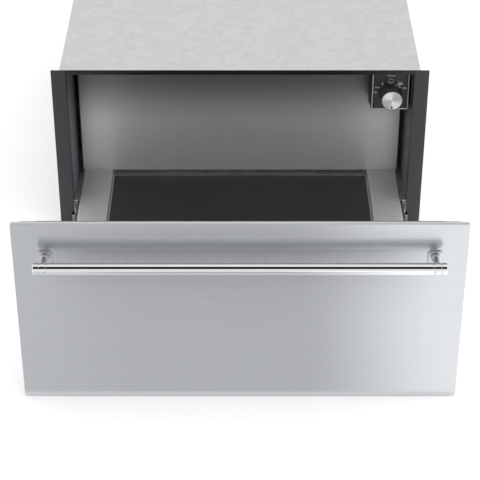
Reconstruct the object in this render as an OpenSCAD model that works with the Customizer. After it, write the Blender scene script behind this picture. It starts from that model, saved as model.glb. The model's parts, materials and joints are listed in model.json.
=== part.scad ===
// Built-in warming drawer, drawn with the drawer pulled fully open.
// +X is to the right, the front faces -Y and +Z is up. The origin is the centre of the carcass underside.
// Pieces are drawn in the closed position with y = 0 at the front face of the carcass frame, and then placed.

/* [Drawer front] */
// Width of the drawer front
front_w = 597; // [580:1:620]
// Height of the drawer front
front_h = 288; // [286:1:320]
// Thickness of the drawer front
front_t = 21; // [18:0.5:30]
// Depth of the outer skin's edges, which fold back round the front
front_edge_d = 6; // [5:0.5:8]
// Distance from the outline of the front in to the box behind its skin
front_box_inset = 10; // [9:0.5:10]
// Sheet thickness of the folded outer skin
front_skin_t = 1.2; // [0.8:0.1:1.6]
// Radius of the corners of the front's outline
front_corner_r = 3; // [2:0.5:6]
// Gap between the front and the surface that the carcass stands on
front_ground_gap = 2; // [1:0.5:3]
// Sheet thickness of the box that closes the back of the front
inner_panel_t = 1; // [0.8:0.1:1.5]
// Thickness of the gasket between the front and the carcass frame
gasket_t = 1.7; // [1:0.1:2.5]
// Width of the gasket
gasket_w = 5; // [4:0.5:8]
// Gap that is left at the gasket when the drawer is closed
gasket_gap = 0.3; // [0.2:0.1:0.6]

/* [Handle] */
// Diameter of the handle bar
bar_d = 16.6; // [14:0.2:20]
// Wall of the handle bar's tube
bar_wall = 1.25; // [1:0.05:2]
// Length of the tube between the two collars
bar_len = 502; // [420:1:520]
// Width of each collar
collar_w = 9; // [8:0.5:12]
// Width of each end cap
cap_w = 8; // [6:0.5:12]
// Distance from the front's face to the bar's axis
bar_standoff = 30; // [28:1:45]
// Distance from the top of the front down to the bar's axis
bar_drop = 50; // [48:1:90]
// Diameter of the foot of each post
post_d = 12; // [12:0.5:15]
// Length of the foot of each post
post_foot = 7; // [3:0.5:10]
// Width of the rose plate under each post
rose_w = 20; // [18:0.5:24]
// Height of the rose plate
rose_h = 26; // [22:0.5:32]
// Thickness of the rose plate
rose_t = 2; // [1:0.1:3]
// Rise of the rose plate above the bar's axis
rose_rise = 8; // [7.5:0.5:13]
// Diameter of the bolt in each post
handle_bolt_d = 5; // [4:0.5:6]
// Length of the bolt inside the post
bolt_grip = 14; // [8:0.5:18]
// Diameter of the bolt's head
bolt_head_d = 9.2; // [8:0.2:11]
// Height of the bolt's head
bolt_head_h = 3.5; // [2.5:0.1:5]
// Length of the spigot that runs from each collar into the tube
spigot_len = 14; // [8:0.5:25]

/* [Carcass] */
// Width of the carcass body
carcass_w = 550; // [540:1:556]
// Height of the carcass
carcass_h = 284; // [280:1:300]
// Room behind the drawer's back wall when the drawer is closed
rear_room = 50; // [44:1:80]
// Sheet thickness of the carcass panels
sheet_t = 1; // [0.8:0.1:1.2]
// Thickness of each hollow side wall
side_t = 9; // [8:0.5:12]
// Width of each strip of the dark front frame, beside the mouth
strip_w = 22.5; // [18:0.5:23.5]
// Sheet thickness of the front frame
frame_t = 1.5; // [1:0.1:2]
// Depth of the lips that turn back into the mouth
frame_lip_d = 14; // [10:1:20]
// Height of the rounded top rail
top_rail_h = 9; // [8:0.5:9.5]
// Height of the notch at the foot of each frame strip
notch_h = 26; // [10:1:40]
// Width of the notch at the foot of each frame strip
notch_w = 4; // [2:0.5:8]
// Distance from the frame back to the front edge of the floor
floor_setback = 45; // [20:1:60]
// Spacing of the floor's fixing holes from side to side
floor_hole_dx = 460; // [400:5:500]
// Spacing of the floor's fixing holes from front to back
floor_hole_dy = 380; // [300:5:420]
// Diameter of the floor's fixing holes
floor_hole_d = 6.5; // [5:0.5:9]
// Number of cooling slots in the back
slot_count = 14; // [6:1:18]
// Width of a cooling slot
slot_w = 4; // [3:0.5:6]
// Height of a cooling slot
slot_h = 46; // [20:1:70]
// Gap between neighbouring cooling slots
slot_gap = 18; // [10:1:24]
// Gap between the two rows of cooling slots
slot_row_gap = 14; // [8:1:30]
// Distance from the top of the carcass down to the middle of the lower row of slots
slot_drop = 119; // [100:1:150]
// Width of the edges that are folded in round each side wall
side_fold = 12; // [8:1:20]
// Distance of the outer screws from the ends of the carcass back and of the slides
screw_inset = 30; // [20:1:50]
// Diameter of the screws that join sheet metal
screw_d = 4; // [3:0.5:4.5]
// Height of a sheet metal screw's head
screw_head_h = 1.7; // [1.3:0.1:2.2]

/* [Slides] */
// Gap between the drawer pan and the carcass side, which the slide fills
rail_gap = 13; // [13:0.1:14]
// Sheet thickness of the slide members
rail_t = 1.2; // [1:0.1:1.2]
// Distance from the frame back to the front end of the slide members
rail_y = 6; // [3:0.5:12]
// Height of the middle of the slide
rail_z = 24; // [22.5:0.5:25.5]
// Diameter of the bearing balls
ball_d = 3.7; // [3.4:0.1:3.7]
// Clearance of a ball to each race
ball_gap = 0.1; // [0.05:0.01:0.1]
// Half height over the inner member
inner_half = 10.5; // [9:0.5:11]
// Number of balls in each row
ball_count = 8; // [4:1:10]
// Length of a ball cage
cage_len = 250; // [200:5:255]
// Sheet thickness of the ball cages at the balls
cage_t = 0.8; // [0.6:0.1:0.9]
// Height of the head of a screw inside the slide
rail_head_t = 1.3; // [1:0.1:1.4]

/* [Drawer base] */
// Depth of the drawer from the carcass frame to its back wall, when closed
drawer_d = 495; // [480:1:510]
// Sheet thickness of the pan, platforms and back wall
pan_t = 1; // [0.8:0.1:1.2]
// Height of the pan's underside
pan_z = 6; // [4:0.5:8]
// Height of the top of the side platforms
platform_z = 48; // [47.5:0.5:60]
// Width of each side platform
platform_w = 46; // [38:1:56]
// How far a platform reaches out past the pan
platform_over = 3; // [2:0.5:3.5]
// Depth of the step from the platform down to the warming plate
plate_drop = 10; // [8:0.5:12]
// Thickness of the warming plate
plate_t = 5; // [4:0.5:6]
// Width of the metal trim round the warming plate
trim_w = 2.8; // [2:0.1:4]
// Width of the drawer's back wall
back_w = 516; // [510:1:520]
// Gap between the top of the back wall and the carcass ceiling
back_top_gap = 10; // [9.5:0.5:15]
// Depth of the folds round the back wall
back_fold_d = 14; // [8:1:18]
// Height of the stiffener across the back wall
brace_h = 40; // [30:1:60]
// Width of each flange of the stiffener
brace_flange = 10; // [8:0.5:14]
// Depth of the stiffener
brace_d = 8; // [5:0.5:12]

/* [Heater] */
// Diameter of the tubular heating element
element_d = 6.4; // [6:0.1:8]
// Number of straight runs of the element
element_runs = 9; // [5:2:9]
// Distance between the runs
element_pitch = 48; // [40:1:50]
// Length of each straight run
element_run_len = 300; // [200:5:320]
// Thickness of the insulation under the heater
insulation_t = 12; // [10:0.5:12]
// Width of the ledges that carry the warming plate
ledge_w = 8; // [5:0.5:9]
// Sheet thickness of the heater tray
tray_t = 0.8; // [0.6:0.1:1]
// Diameter of the thermal cut-out's body
cutout_d = 16; // [12:0.5:18]
// Height of the thermal cut-out's body
cutout_h = 7; // [5:0.5:9]

/* [Controls] */
// Width of the control panel
panel_w = 58; // [54:0.5:60]
// Height of the lower edge of the control panel
panel_z = 197.5; // [190:0.5:200]
// Thickness of the control panel
panel_t = 2; // [1.5:0.1:3]
// Distance from the frame back to the control panel's face
panel_setback = 32; // [30:0.5:34]
// Depth of the control housing behind the panel
housing_d = 52; // [46:0.5:54]
// Gap between the housing and the drawer's back wall when the drawer is fully open
stop_gap = 9; // [6:0.5:20]
// Drop of the housing's underside from front to back
housing_slope = 15; // [8:0.5:20]
// Wall of the control housing
housing_wall = 1.5; // [1.2:0.1:2]
// Distance of the knob's axis from the middle of the carcass
knob_x = 235; // [234:0.5:237]
// Height of the knob's axis
knob_z = 225; // [222:0.5:228]
// Diameter of the knob at its foot
knob_d = 34.6; // [30:0.2:36]
// Diameter of the knob at its face
knob_face_d = 33.2; // [28:0.2:34]
// Length of the knob
knob_len = 21; // [18:0.5:24]
// Gap between the knob and the control panel
knob_gap = 0.6; // [0.4:0.1:1.5]
// Thickness of the metal disc in the knob's face
knob_face_t = 1.2; // [0.8:0.1:1.5]
// Width of the pointer rib on the knob's face
pointer_w = 2.4; // [1.6:0.2:4]
// Length of the pointer rib
pointer_len = 6; // [4:0.5:9]
// Diameter of the switch shaft
shaft_d = 6; // [5:0.1:6.4]
// Width and height of the rotary switch
switch_w = 28; // [24:0.5:30]
// Depth of the rotary switch behind the panel
switch_d = 18; // [14:0.5:24]
// Diameter of the switch's threaded bush
bush_d = 10; // [9:0.5:11]
// Diameter of the indicator lamp's lens
lens_d = 5.6; // [4:0.1:6]

/* [Power inlet] */
// Distance of the cable gland to the left of the middle
gland_x = 215; // [200:1:220]
// Height of the cable gland
gland_z = 82; // [76:1:100]
// Diameter of the hole for the cable
gland_bore_d = 8.4; // [6:0.1:9]
// Length of the gland's collar outside the back
gland_out = 12; // [8:0.5:16]
// Diameter of the gland's collar and of its nut
gland_d = 21; // [19:0.5:24]
// Depth of the terminal box
terminal_d = 28; // [22:1:32]
// Width of the terminal box
terminal_w = 64; // [50:1:90]
// Wall of the terminal box
terminal_wall = 2; // [1.5:0.1:3]

/* [Hidden] */
$fn = 64;
eps = 0.01;

steel = [0.74, 0.75, 0.77];
zinc = [0.80, 0.81, 0.82];
dark = [0.20, 0.21, 0.23];
black = [0.05, 0.05, 0.06];
wool = [0.86, 0.83, 0.72];

carcass_d = drawer_d + rear_room;          // depth of the carcass
cavity_half = carcass_w / 2 - side_t;      // half width of the mouth
frame_w = 2 * (cavity_half + strip_w);     // width over the front frame
housing_y1 = panel_setback + panel_t + housing_d;
travel = drawer_d - housing_y1 - stop_gap; // travel of the drawer from closed to fully open
rail_len = drawer_d + pan_t - rail_y;      // length of each slide member
mouth_y = -carcass_d / 2;                  // y of the frame's front face
front_seat = gasket_t + gasket_gap;        // gap between the front's back and the frame, closed
front_z = front_ground_gap + front_h / 2;  // height of the middle of the front
front_face_y = -front_seat - front_t;
bar_y = front_face_y - bar_standoff;
bar_z = front_ground_gap + front_h - bar_drop;
post_x = bar_len / 2 + collar_w / 2;
pan_half = cavity_half - rail_gap;
platform_out = pan_half + platform_over;
platform_in = platform_out - platform_w;
plate_top = platform_z - plate_drop;
plate_half = platform_in - trim_w - 0.4;   // half width of the warming plate
ledge_t = 1.2;
ledge_z = plate_top - plate_t - ledge_t;   // underside of the ledges that carry the plate
back_top = carcass_h - sheet_t - back_top_gap;
race = ball_d + 2 * ball_gap;              // height of a ball race
middle_half = inner_half + race + rail_t;
outer_half = middle_half + race + rail_t;
// Distances in from the carcass side: screw heads, cages and members share the slide's thickness
outer_reach = 9;
middle_off = 4.2;
middle_reach = 10.5;
inner_reach = 6.6;
outer_cage_off = rail_t + rail_head_t + 0.3;
inner_cage_off = middle_off + rail_t + 0.3;
outer_ball_off = (middle_off + outer_reach) / 2 + 0.2;
inner_ball_off = (inner_reach + middle_reach) / 2;
cage_lap = 2.2;                            // how far a cage reaches in past the middle of its balls
screw_head_r = screw_d * 0.9;
screw_len = 6;
hole_play = 0.2;
thread_play = 0.05;
seat_play = 0.1;                           // clearance of a spigot or a plate in its seat
panel_x = cavity_half - 3 - panel_w / 2;
panel_top = carcass_h - top_rail_h - 1;
housing_top = carcass_h - sheet_t;
panel_corner_r = 1.5;
lens_gap = 6.8;                            // distance from the knob's foot to the middle of the lens
lens_rise = 3.2;                           // height of the lens above the knob's axis
lens_proud = 0.6;
lens_len = 8;
bush_out = 5;                              // length of the bush in front of the panel
nut_t = 2;
nut_rim = 3;                               // width of the nut round the bush
knob_y0 = panel_setback - knob_gap - knob_len; // y of the knob's face
neck_inset = 0.3;                          // how much narrower the post is than the collar, on each side
cap_wall = 2.5;
cap_edge_r = 1.4;
rose_corner_r = 5;
knob_rim = 0.9;                            // width of the black rim round the metal disc
knob_hollow = 8;                           // depth of the hollow in the knob's back
knob_floor = 6;                            // thickness of the knob in front of the shaft
pointer_inset = 1.5;
pointer_proud = 0.3;
platform_fold = 2;                         // depth of the outer edge that is folded down
pan_margin = 3;                            // how far the back wall's foot stays inside the pan
back_foot_rise = 10;                       // height of the back wall's foot above the pan's underside
core_gap = 1;                              // gap between the front's box and its core
core_relief = 2.2;                         // clearance of the core round screws and bolts
gasket_foot_z = 14;                        // height of the foot of the gasket
gland_neck_r = 7.9;
gland_neck_len = 9;
gland_nut_t = 5;
terminal_below = 22;                       // how far the terminal box reaches below the gland
terminal_above = 34;                       // and above it
plate_inset = 1;                           // gap at the front and at the back of the warming plate's trim
plate_y1 = drawer_d - pan_t - plate_inset;
trim_rise = 0.4;                           // how far the trim stands proud of the plate
fold_play = 0.2;                           // gap between folded sheets that lie side by side

// Places a piece drawn in the closed position. share is how much of the travel it has moved out.
module placed(share = 0) {
    translate([0, mouth_y - share * travel, 0])
        children();
}

// Extrudes an outline drawn in x and z from y0 over a depth.
module along_y(y0, depth) {
    translate([0, y0 + depth, 0])
        rotate([90, 0, 0])
            linear_extrude(depth)
                children();
}

// Extrudes an outline drawn in y and z from x0 over a width.
module along_x(x0, width) {
    translate([x0, 0, 0])
        rotate([90, 0, 90])
            linear_extrude(width)
                children();
}

module left() {
    mirror([1, 0, 0])
        children();
}

// A box between two opposite corners.
module block(low, high) {
    translate(low)
        cube(high - low);
}

module rounded_rect(w, h, r) {
    square([w - 2 * r, h], center = true);
    square([w, h - 2 * r], center = true);
    for (sx = [-1, 1], sz = [-1, 1])
        translate([sx * (w / 2 - r), sz * (h / 2 - r)])
            circle(r);
}

// A rod along Y from y0.
module rod_y(x, z, y0, len, r) {
    translate([x, y0 + len, z])
        rotate([90, 0, 0])
            cylinder(h = len, r = r);
}

// A rod along X from x0.
module rod_x(y, z, x0, len, r) {
    translate([x0, y, z])
        rotate([0, 90, 0])
            cylinder(h = len, r = r);
}

// ---- carcass ----

module carcass_floor() {
    color(zinc) placed() difference() {
        block([-carcass_w / 2, floor_setback, 0], [carcass_w / 2, carcass_d, sheet_t]);
        for (sx = [-1, 1], sy = [-1, 1])
            translate([sx * floor_hole_dx / 2, carcass_d / 2 + sy * floor_hole_dy / 2, -eps])
                cylinder(h = sheet_t + 2 * eps, d = floor_hole_d);
    }
}

module carcass_top() {
    color(zinc) placed()
        block([-carcass_w / 2, frame_t, carcass_h - sheet_t], [carcass_w / 2, carcass_d, carcass_h]);
}

module carcass_back() {
    slot_pitch = slot_w + slot_gap;
    row_pitch = slot_h + slot_row_gap;
    low_row_z = carcass_h - slot_drop;
    color(zinc) placed() difference() {
        block([-carcass_w / 2, carcass_d - sheet_t, sheet_t], [carcass_w / 2, carcass_d, carcass_h - sheet_t]);
        for (row = [0, 1], i = [0 : slot_count - 1])
            along_y(carcass_d - sheet_t - eps, sheet_t + 2 * eps)
                translate([(i - (slot_count - 1) / 2) * slot_pitch, low_row_z + row * row_pitch])
                    rounded_rect(slot_w, slot_h, slot_w / 2 - seat_play);
        rod_y(-gland_x, gland_z, carcass_d - sheet_t - eps, sheet_t + 2 * eps, gland_neck_r + seat_play);
        for (p = back_screw_points())
            rod_y(p[0], p[1], carcass_d - sheet_t - eps, sheet_t + 2 * eps, screw_d / 2 + hole_play);
    }
}

function back_screw_zs() = [screw_inset, carcass_h / 2, carcass_h - screw_inset];
function back_screw_points() = [for (sx = [-1, 1], z = back_screw_zs()) [sx * (carcass_w / 2 - side_t / 2), z]];

// The outer tray of a side wall: one skin with its four edges folded inwards.
module side() {
    x1 = carcass_w / 2;
    x0 = cavity_half + sheet_t;
    color(zinc) placed() {
        block([x1 - sheet_t, frame_t, sheet_t], [x1, carcass_d - sheet_t, carcass_h - sheet_t]);
        block([x0 + fold_play, frame_t, notch_h], [x1 - sheet_t, frame_t + sheet_t, carcass_h - sheet_t]);
        difference() {
            block([x0, carcass_d - 2 * sheet_t, sheet_t], [x1 - sheet_t, carcass_d - sheet_t, carcass_h - sheet_t]);
            for (z = back_screw_zs())
                rod_y(x1 - side_t / 2, z, carcass_d - 2 * sheet_t - eps, sheet_t + 2 * eps,
                      screw_d / 2 + thread_play);
        }
        for (z = [sheet_t, carcass_h - 2 * sheet_t])
            block([x0, frame_lip_d + frame_t + side_fold, z], [x1 - sheet_t, carcass_d - 2 * sheet_t, z + sheet_t]);
    }
}
module side_right() { side(); }
module side_left() { left() side(); }

// The inner skin of a side wall, which carries the slide.
module liner() {
    color(dark) placed() difference() {
        block([cavity_half, frame_lip_d + frame_t, sheet_t],
              [cavity_half + sheet_t, carcass_d - sheet_t, carcass_h - sheet_t]);
        for (y = rail_screw_ys())
            rod_x(y, rail_z, cavity_half - eps, sheet_t + 2 * eps, screw_d / 2 + hole_play);
    }
}
module liner_right() { liner(); }
module liner_left() { left() liner(); }

// A strip of the front frame with its lip turned back into the mouth.
module frame_strip() {
    color(dark) placed() {
        difference() {
            block([cavity_half, 0, 0], [frame_w / 2, frame_t, carcass_h]);
            block([cavity_half - eps, -eps, -eps], [cavity_half + notch_w, frame_t + eps, notch_h]);
        }
        block([cavity_half, frame_t, notch_h],
              [cavity_half + sheet_t + fold_play, frame_t + frame_lip_d, carcass_h - sheet_t]);
    }
}
module frame_strip_right() { frame_strip(); }
module frame_strip_left() { left() frame_strip(); }

// The rail over the mouth, between the strips: hollow, with a rounded lower nose, under the top's front edge.
module top_rail() {
    nose_r = (top_rail_h - sheet_t) / 2;
    low_z = carcass_h - top_rail_h;
    inside_d = frame_lip_d - 2 * frame_t;
    color(dark) placed()
        along_x(-cavity_half, 2 * cavity_half)
            difference() {
                union() {
                    translate([0, low_z + nose_r])
                        square([frame_t, top_rail_h - nose_r]);
                    translate([0, low_z + nose_r])
                        square([frame_lip_d, top_rail_h - nose_r - sheet_t]);
                    translate([nose_r, low_z])
                        square([frame_lip_d - nose_r, nose_r]);
                    translate([nose_r, low_z + nose_r])
                        circle(nose_r);
                }
                translate([frame_t + nose_r / 2, low_z + frame_t])
                    square([inside_d - nose_r / 2, top_rail_h - 2 * frame_t - sheet_t]);
            }
}

function rail_screw_ys() = [for (i = [0 : 2]) rail_y + screw_inset + i * (rail_len - 2 * screw_inset) / 2];

// ---- slides ----

// Members are drawn for the right side: u is the distance in from the carcass side.
module member(web_off, reach0, reach1, half) {
    translate([cavity_half - web_off - rail_t, rail_z - half])
        square([rail_t, 2 * half]);
    for (z = [rail_z - half, rail_z + half - rail_t])
        translate([cavity_half - reach1, z])
            square([reach1 - reach0, rail_t]);
}

module rail_outer() {
    color(steel) placed() difference() {
        along_y(rail_y, rail_len)
            member(0, 0, outer_reach, outer_half);
        for (y = rail_screw_ys())
            rod_x(y, rail_z, cavity_half - rail_t - eps, rail_t + 2 * eps, screw_d / 2 + hole_play);
    }
}
module rail_outer_right() { rail_outer(); }
module rail_outer_left() { left() rail_outer(); }

module rail_outer_screws() {
    color(zinc) placed()
        for (side = [0, 1], y = rail_screw_ys())
            mirror([side, 0, 0]) {
                rod_x(y, rail_z, cavity_half - rail_t - rail_head_t, rail_head_t, screw_head_r);
                rod_x(y, rail_z, cavity_half - rail_t, screw_len + eps, screw_d / 2);
            }
}

module rail_middle() {
    color(steel) placed(1 / 2)
        along_y(rail_y, rail_len)
            member(middle_off, middle_off, middle_reach, middle_half);
}
module rail_middle_right() { rail_middle(); }
module rail_middle_left() { left() rail_middle(); }

module rail_inner() {
    color(steel) placed(1)
        along_y(rail_y, rail_len)
            member(rail_gap - rail_t, inner_reach, rail_gap, inner_half);
}
module rail_inner_right() { rail_inner(); }
module rail_inner_left() { left() rail_inner(); }

function outer_cage_y() = rail_y + 4 + travel / 4;
function inner_cage_y() = rail_y + 20 + travel / 4;
function ball_y(i) = cage_len * (i + 0.5) / ball_count;

// A cage strip that wraps the member inside it and holds one row of balls above and one below.
module cage(y0, web_off, web_t, reach, ball_off, ball_z) {
    difference() {
        union() {
            along_y(y0, cage_len)
                translate([cavity_half - web_off - web_t, rail_z - ball_z - cage_t / 2])
                    square([web_t, 2 * ball_z + cage_t]);
            for (s = [-1, 1])
                along_y(y0, cage_len)
                    translate([cavity_half - reach, rail_z + s * ball_z - cage_t / 2])
                        square([reach - web_off, cage_t]);
        }
        for (s = [-1, 1], i = [0 : ball_count - 1])
            translate([cavity_half - ball_off, y0 + ball_y(i), rail_z + s * ball_z - cage_t])
                cylinder(h = 2 * cage_t, d = ball_d + seat_play);
    }
}

module balls(y0, ball_off, ball_z) {
    for (side = [0, 1], s = [-1, 1], i = [0 : ball_count - 1])
        mirror([side, 0, 0])
            translate([cavity_half - ball_off, y0 + ball_y(i), rail_z + s * ball_z])
                sphere(d = ball_d);
}

// The webs of the cages lie between the webs of the members.
outer_cage_web = middle_off - outer_cage_off - 0.4;
inner_cage_web = inner_reach - inner_cage_off - 0.3;
outer_ball_z = middle_half + race / 2;
inner_ball_z = inner_half + race / 2;

module outer_cage() {
    color(zinc) placed(1 / 4)
        cage(outer_cage_y(), outer_cage_off, outer_cage_web, outer_ball_off + cage_lap, outer_ball_off,
             outer_ball_z);
}
module outer_cage_right() { outer_cage(); }
module outer_cage_left() { left() outer_cage(); }

module outer_balls() {
    color(steel) placed(1 / 4)
        balls(outer_cage_y(), outer_ball_off, outer_ball_z);
}

module inner_cage() {
    color(zinc) placed(3 / 4)
        cage(inner_cage_y(), inner_cage_off, inner_cage_web, inner_ball_off + cage_lap, inner_ball_off,
             inner_ball_z);
}
module inner_cage_right() { inner_cage(); }
module inner_cage_left() { left() inner_cage(); }

module inner_balls() {
    color(steel) placed(3 / 4)
        balls(inner_cage_y(), inner_ball_off, inner_ball_z);
}

module carcass_screws() {
    color(zinc) placed()
        for (p = back_screw_points()) {
            rod_y(p[0], p[1], carcass_d, screw_head_h, screw_head_r);
            rod_y(p[0], p[1], carcass_d - screw_len, screw_len, screw_d / 2);
        }
}

// ---- controls ----

// Side profile of the housing, in y and z, drawn in from its outer faces by inset.
module housing_profile(inset, y0) {
    y1 = housing_y1 - inset;
    low = panel_z + inset;
    polygon([[y0, housing_top - inset], [y0, low], [y1, low - housing_slope], [y1, housing_top - inset]]);
}

// The housing is open in front, where the panel closes it.
module control_housing() {
    x0 = panel_x - panel_w / 2;
    y0 = panel_setback + panel_t;
    color(black) placed() difference() {
        along_x(x0, panel_w)
            housing_profile(0, y0);
        along_x(x0 + housing_wall, panel_w - 2 * housing_wall)
            housing_profile(housing_wall, y0 - 1);
    }
}

module control_panel() {
    color([0.12, 0.12, 0.13]) placed() difference() {
        along_y(panel_setback, panel_t)
            translate([panel_x, (panel_z + panel_top) / 2])
                rounded_rect(panel_w, panel_top - panel_z, panel_corner_r);
        rod_y(knob_x, knob_z, panel_setback - eps, panel_t + 2 * eps, bush_d / 2 + hole_play);
        rod_y(lens_x(), lens_z(), panel_setback - eps, panel_t + 2 * eps, lens_d / 2 + seat_play);
    }
}

function lens_x() = knob_x - knob_d / 2 - lens_gap;
function lens_z() = knob_z + lens_rise;

// A light pipe that stands a little proud of the panel.
module indicator_lens() {
    color("gray") placed()
        rod_y(lens_x(), lens_z(), panel_setback - lens_proud, lens_len, lens_d / 2);
}

// The switch body behind the panel, with a threaded bush and its nut in front.
module rotary_switch() {
    y1 = panel_setback + panel_t;
    half = switch_w / 2;
    color("dimgray") placed() difference() {
        union() {
            block([knob_x - half, y1, knob_z - half], [knob_x + half, y1 + switch_d, knob_z + half]);
            rod_y(knob_x, knob_z, panel_setback - bush_out, bush_out + panel_t, bush_d / 2);
            rod_y(knob_x, knob_z, panel_setback - nut_t, nut_t, bush_d / 2 + nut_rim);
        }
        rod_y(knob_x, knob_z, panel_setback - bush_out - 1, y1 + switch_d - 4 - panel_setback + bush_out + 1,
              shaft_d / 2 + thread_play);
    }
}

// The outline of the pointer rib, from y0 over a depth. It stands straight down from the knob's axis.
module pointer(y0, depth) {
    low = knob_z - knob_face_d / 2 + pointer_inset;
    block([knob_x - pointer_w / 2, y0, low], [knob_x + pointer_w / 2, y0 + depth, low + pointer_len]);
}

// The knob with its hollow back. The pointer rib stands on its face, and the metal disc lies round the rib.
module knob_body() {
    color(black) placed() difference() {
        union() {
            translate([knob_x, knob_y0 + knob_len, knob_z])
                rotate([90, 0, 0])
                    cylinder(h = knob_len, d1 = knob_d, d2 = knob_face_d);
            pointer(knob_y0 - pointer_proud, pointer_proud + 1);
        }
        difference() {
            rod_y(knob_x, knob_z, knob_y0 - eps, knob_face_t + eps, knob_face_d / 2 - knob_rim);
            pointer(knob_y0 - 1, knob_face_t + 2);
        }
        rod_y(knob_x, knob_z, knob_y0 + knob_len - knob_hollow, knob_hollow + eps, bush_d / 2 + nut_rim + 1.5);
        rod_y(knob_x, knob_z, knob_y0 + knob_floor, knob_len, shaft_d / 2 + thread_play);
    }
}

module knob_face() {
    color(steel) placed() difference() {
        rod_y(knob_x, knob_z, knob_y0, knob_face_t, knob_face_d / 2 - knob_rim - seat_play);
        pointer(knob_y0 - 1, knob_face_t + 2);
    }
}

module knob_shaft() {
    color("goldenrod") placed()
        rod_y(knob_x, knob_z, knob_y0 + knob_floor, panel_setback + panel_t + 12 - knob_y0 - knob_floor, shaft_d / 2);
}

// ---- power inlet ----

// A box with its open side against the back panel.
module terminal_box() {
    y1 = carcass_d - sheet_t;
    w = terminal_wall;
    low = [-gland_x - terminal_w / 2, y1 - terminal_d, gland_z - terminal_below];
    high = [-gland_x + terminal_w / 2, y1, gland_z + terminal_above];
    color(black) placed() difference() {
        block(low, high);
        block(low + [w, w, w], high + [-w, eps, -w]);
    }
}

// A collar outside the back, a threaded neck through it and a nut inside.
module cable_gland() {
    inner_y = carcass_d - sheet_t;
    color(black) placed() difference() {
        union() {
            rod_y(-gland_x, gland_z, carcass_d, gland_out, gland_d / 2);
            rod_y(-gland_x, gland_z, inner_y - gland_neck_len, gland_neck_len + sheet_t, gland_neck_r);
            rod_y(-gland_x, gland_z, inner_y - gland_nut_t, gland_nut_t, gland_d / 2);
        }
        rod_y(-gland_x, gland_z, inner_y - gland_neck_len - 1, gland_neck_len + sheet_t + gland_out + 2,
              gland_bore_d / 2);
    }
}

// ---- drawer front ----

module front_outline(inset = 0) {
    translate([0, front_z])
        rounded_rect(front_w - 2 * inset, front_h - 2 * inset, max(0.5, front_corner_r - inset));
}

// Folded sheet: the face, four edges turned back and a lip that turns in to the box behind.
module front_skin() {
    color(steel) placed(1) difference() {
        along_y(front_face_y, front_edge_d)
            front_outline();
        along_y(front_face_y + front_skin_t, front_edge_d - 2 * front_skin_t)
            front_outline(front_skin_t);
        along_y(front_face_y + front_skin_t, front_edge_d)
            front_outline(front_box_inset - fold_play);
        for (sx = [-1, 1])
            rod_y(sx * post_x, bar_z, front_face_y - eps, front_skin_t + 2 * eps, handle_bolt_d / 2 + hole_play);
    }
}

module front_core() {
    color(wool) placed(1) difference() {
        along_y(front_face_y + front_skin_t, front_t - front_skin_t - inner_panel_t)
            front_outline(front_box_inset + inner_panel_t + core_gap);
        for (sx = [-1, 1])
            rod_y(sx * post_x, bar_z, front_face_y, front_t, bolt_head_d / 2 + core_relief);
        for (x = front_screw_xs())
            rod_y(x, front_screw_z(), -front_seat - 2 * screw_len, 2 * screw_len, screw_d / 2 + core_relief);
    }
}

function front_screw_xs() = [for (i = [-3, -1, 1, 3]) i * pan_half * 0.3];
function front_screw_z() = pan_z + (platform_z - pan_z) / 2;

// The box behind the skin: the panel that faces the carcass, with its edges folded forwards to the face.
module front_inner_panel() {
    color(steel) placed(1) difference() {
        along_y(front_face_y + front_skin_t, front_t - front_skin_t)
            front_outline(front_box_inset);
        along_y(front_face_y, front_t - inner_panel_t)
            front_outline(front_box_inset + inner_panel_t);
        for (x = front_screw_xs())
            rod_y(x, front_screw_z(), -front_seat - inner_panel_t - eps, inner_panel_t + 2 * eps,
                  screw_d / 2 + hole_play);
    }
}

// The seal on the back of the front, along both sides and the top.
module front_gasket() {
    x0 = cavity_half + notch_w;
    top = min(carcass_h - 1, front_ground_gap + front_h - front_box_inset);
    color(black) placed(1)
        along_y(-front_seat, gasket_t) {
            for (sx = [-1, 1])
                translate([sx * (x0 + gasket_w / 2), (gasket_foot_z + top) / 2])
                    square([gasket_w, top - gasket_foot_z], center = true);
            translate([0, top - gasket_w / 2])
                square([2 * x0 + eps, gasket_w], center = true);
        }
}

// ---- handle ----

module handle_bar() {
    color(steel) placed(1) difference() {
        rod_x(bar_y, bar_z, -bar_len / 2, bar_len, bar_d / 2);
        rod_x(bar_y, bar_z, -bar_len / 2 - eps, bar_len + 2 * eps, bar_d / 2 - bar_wall);
    }
}

// A collar with its post. A spigot runs into the tube and a short one into the end cap.
module handle_collar() {
    spigot_r = bar_d / 2 - bar_wall - seat_play;
    color(steel) placed(1) difference() {
        union() {
            rod_x(bar_y, bar_z, bar_len / 2, collar_w, bar_d / 2);
            rod_x(bar_y, bar_z, bar_len / 2 - spigot_len, spigot_len + 1, spigot_r);
            rod_x(bar_y, bar_z, bar_len / 2 + collar_w - 1, cap_w - cap_wall + 0.5, spigot_r - 1);
            rod_y(post_x, bar_z, bar_y, bar_standoff - rose_t, collar_w / 2 - neck_inset);
            rod_y(post_x, bar_z, front_face_y - rose_t - post_foot, post_foot, post_d / 2);
        }
        rod_y(post_x, bar_z, bar_y + 8, bar_standoff, handle_bolt_d / 2);
    }
}
module handle_collar_right() { handle_collar(); }
module handle_collar_left() { left() handle_collar(); }

module handle_cap() {
    edge = cap_edge_r;
    r = bar_d / 2;
    color(steel) placed(1) translate([bar_len / 2 + collar_w, bar_y, bar_z]) rotate([0, 90, 0]) difference() {
        rotate_extrude() {
            square([r - edge, cap_w]);
            square([r, cap_w - edge]);
            translate([r - edge, cap_w - edge]) circle(edge);
        }
        translate([0, 0, -eps])
            cylinder(h = cap_w - cap_wall, r = bar_d / 2 - bar_wall - 1);
    }
}
module handle_cap_right() { handle_cap(); }
module handle_cap_left() { left() handle_cap(); }

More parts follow.
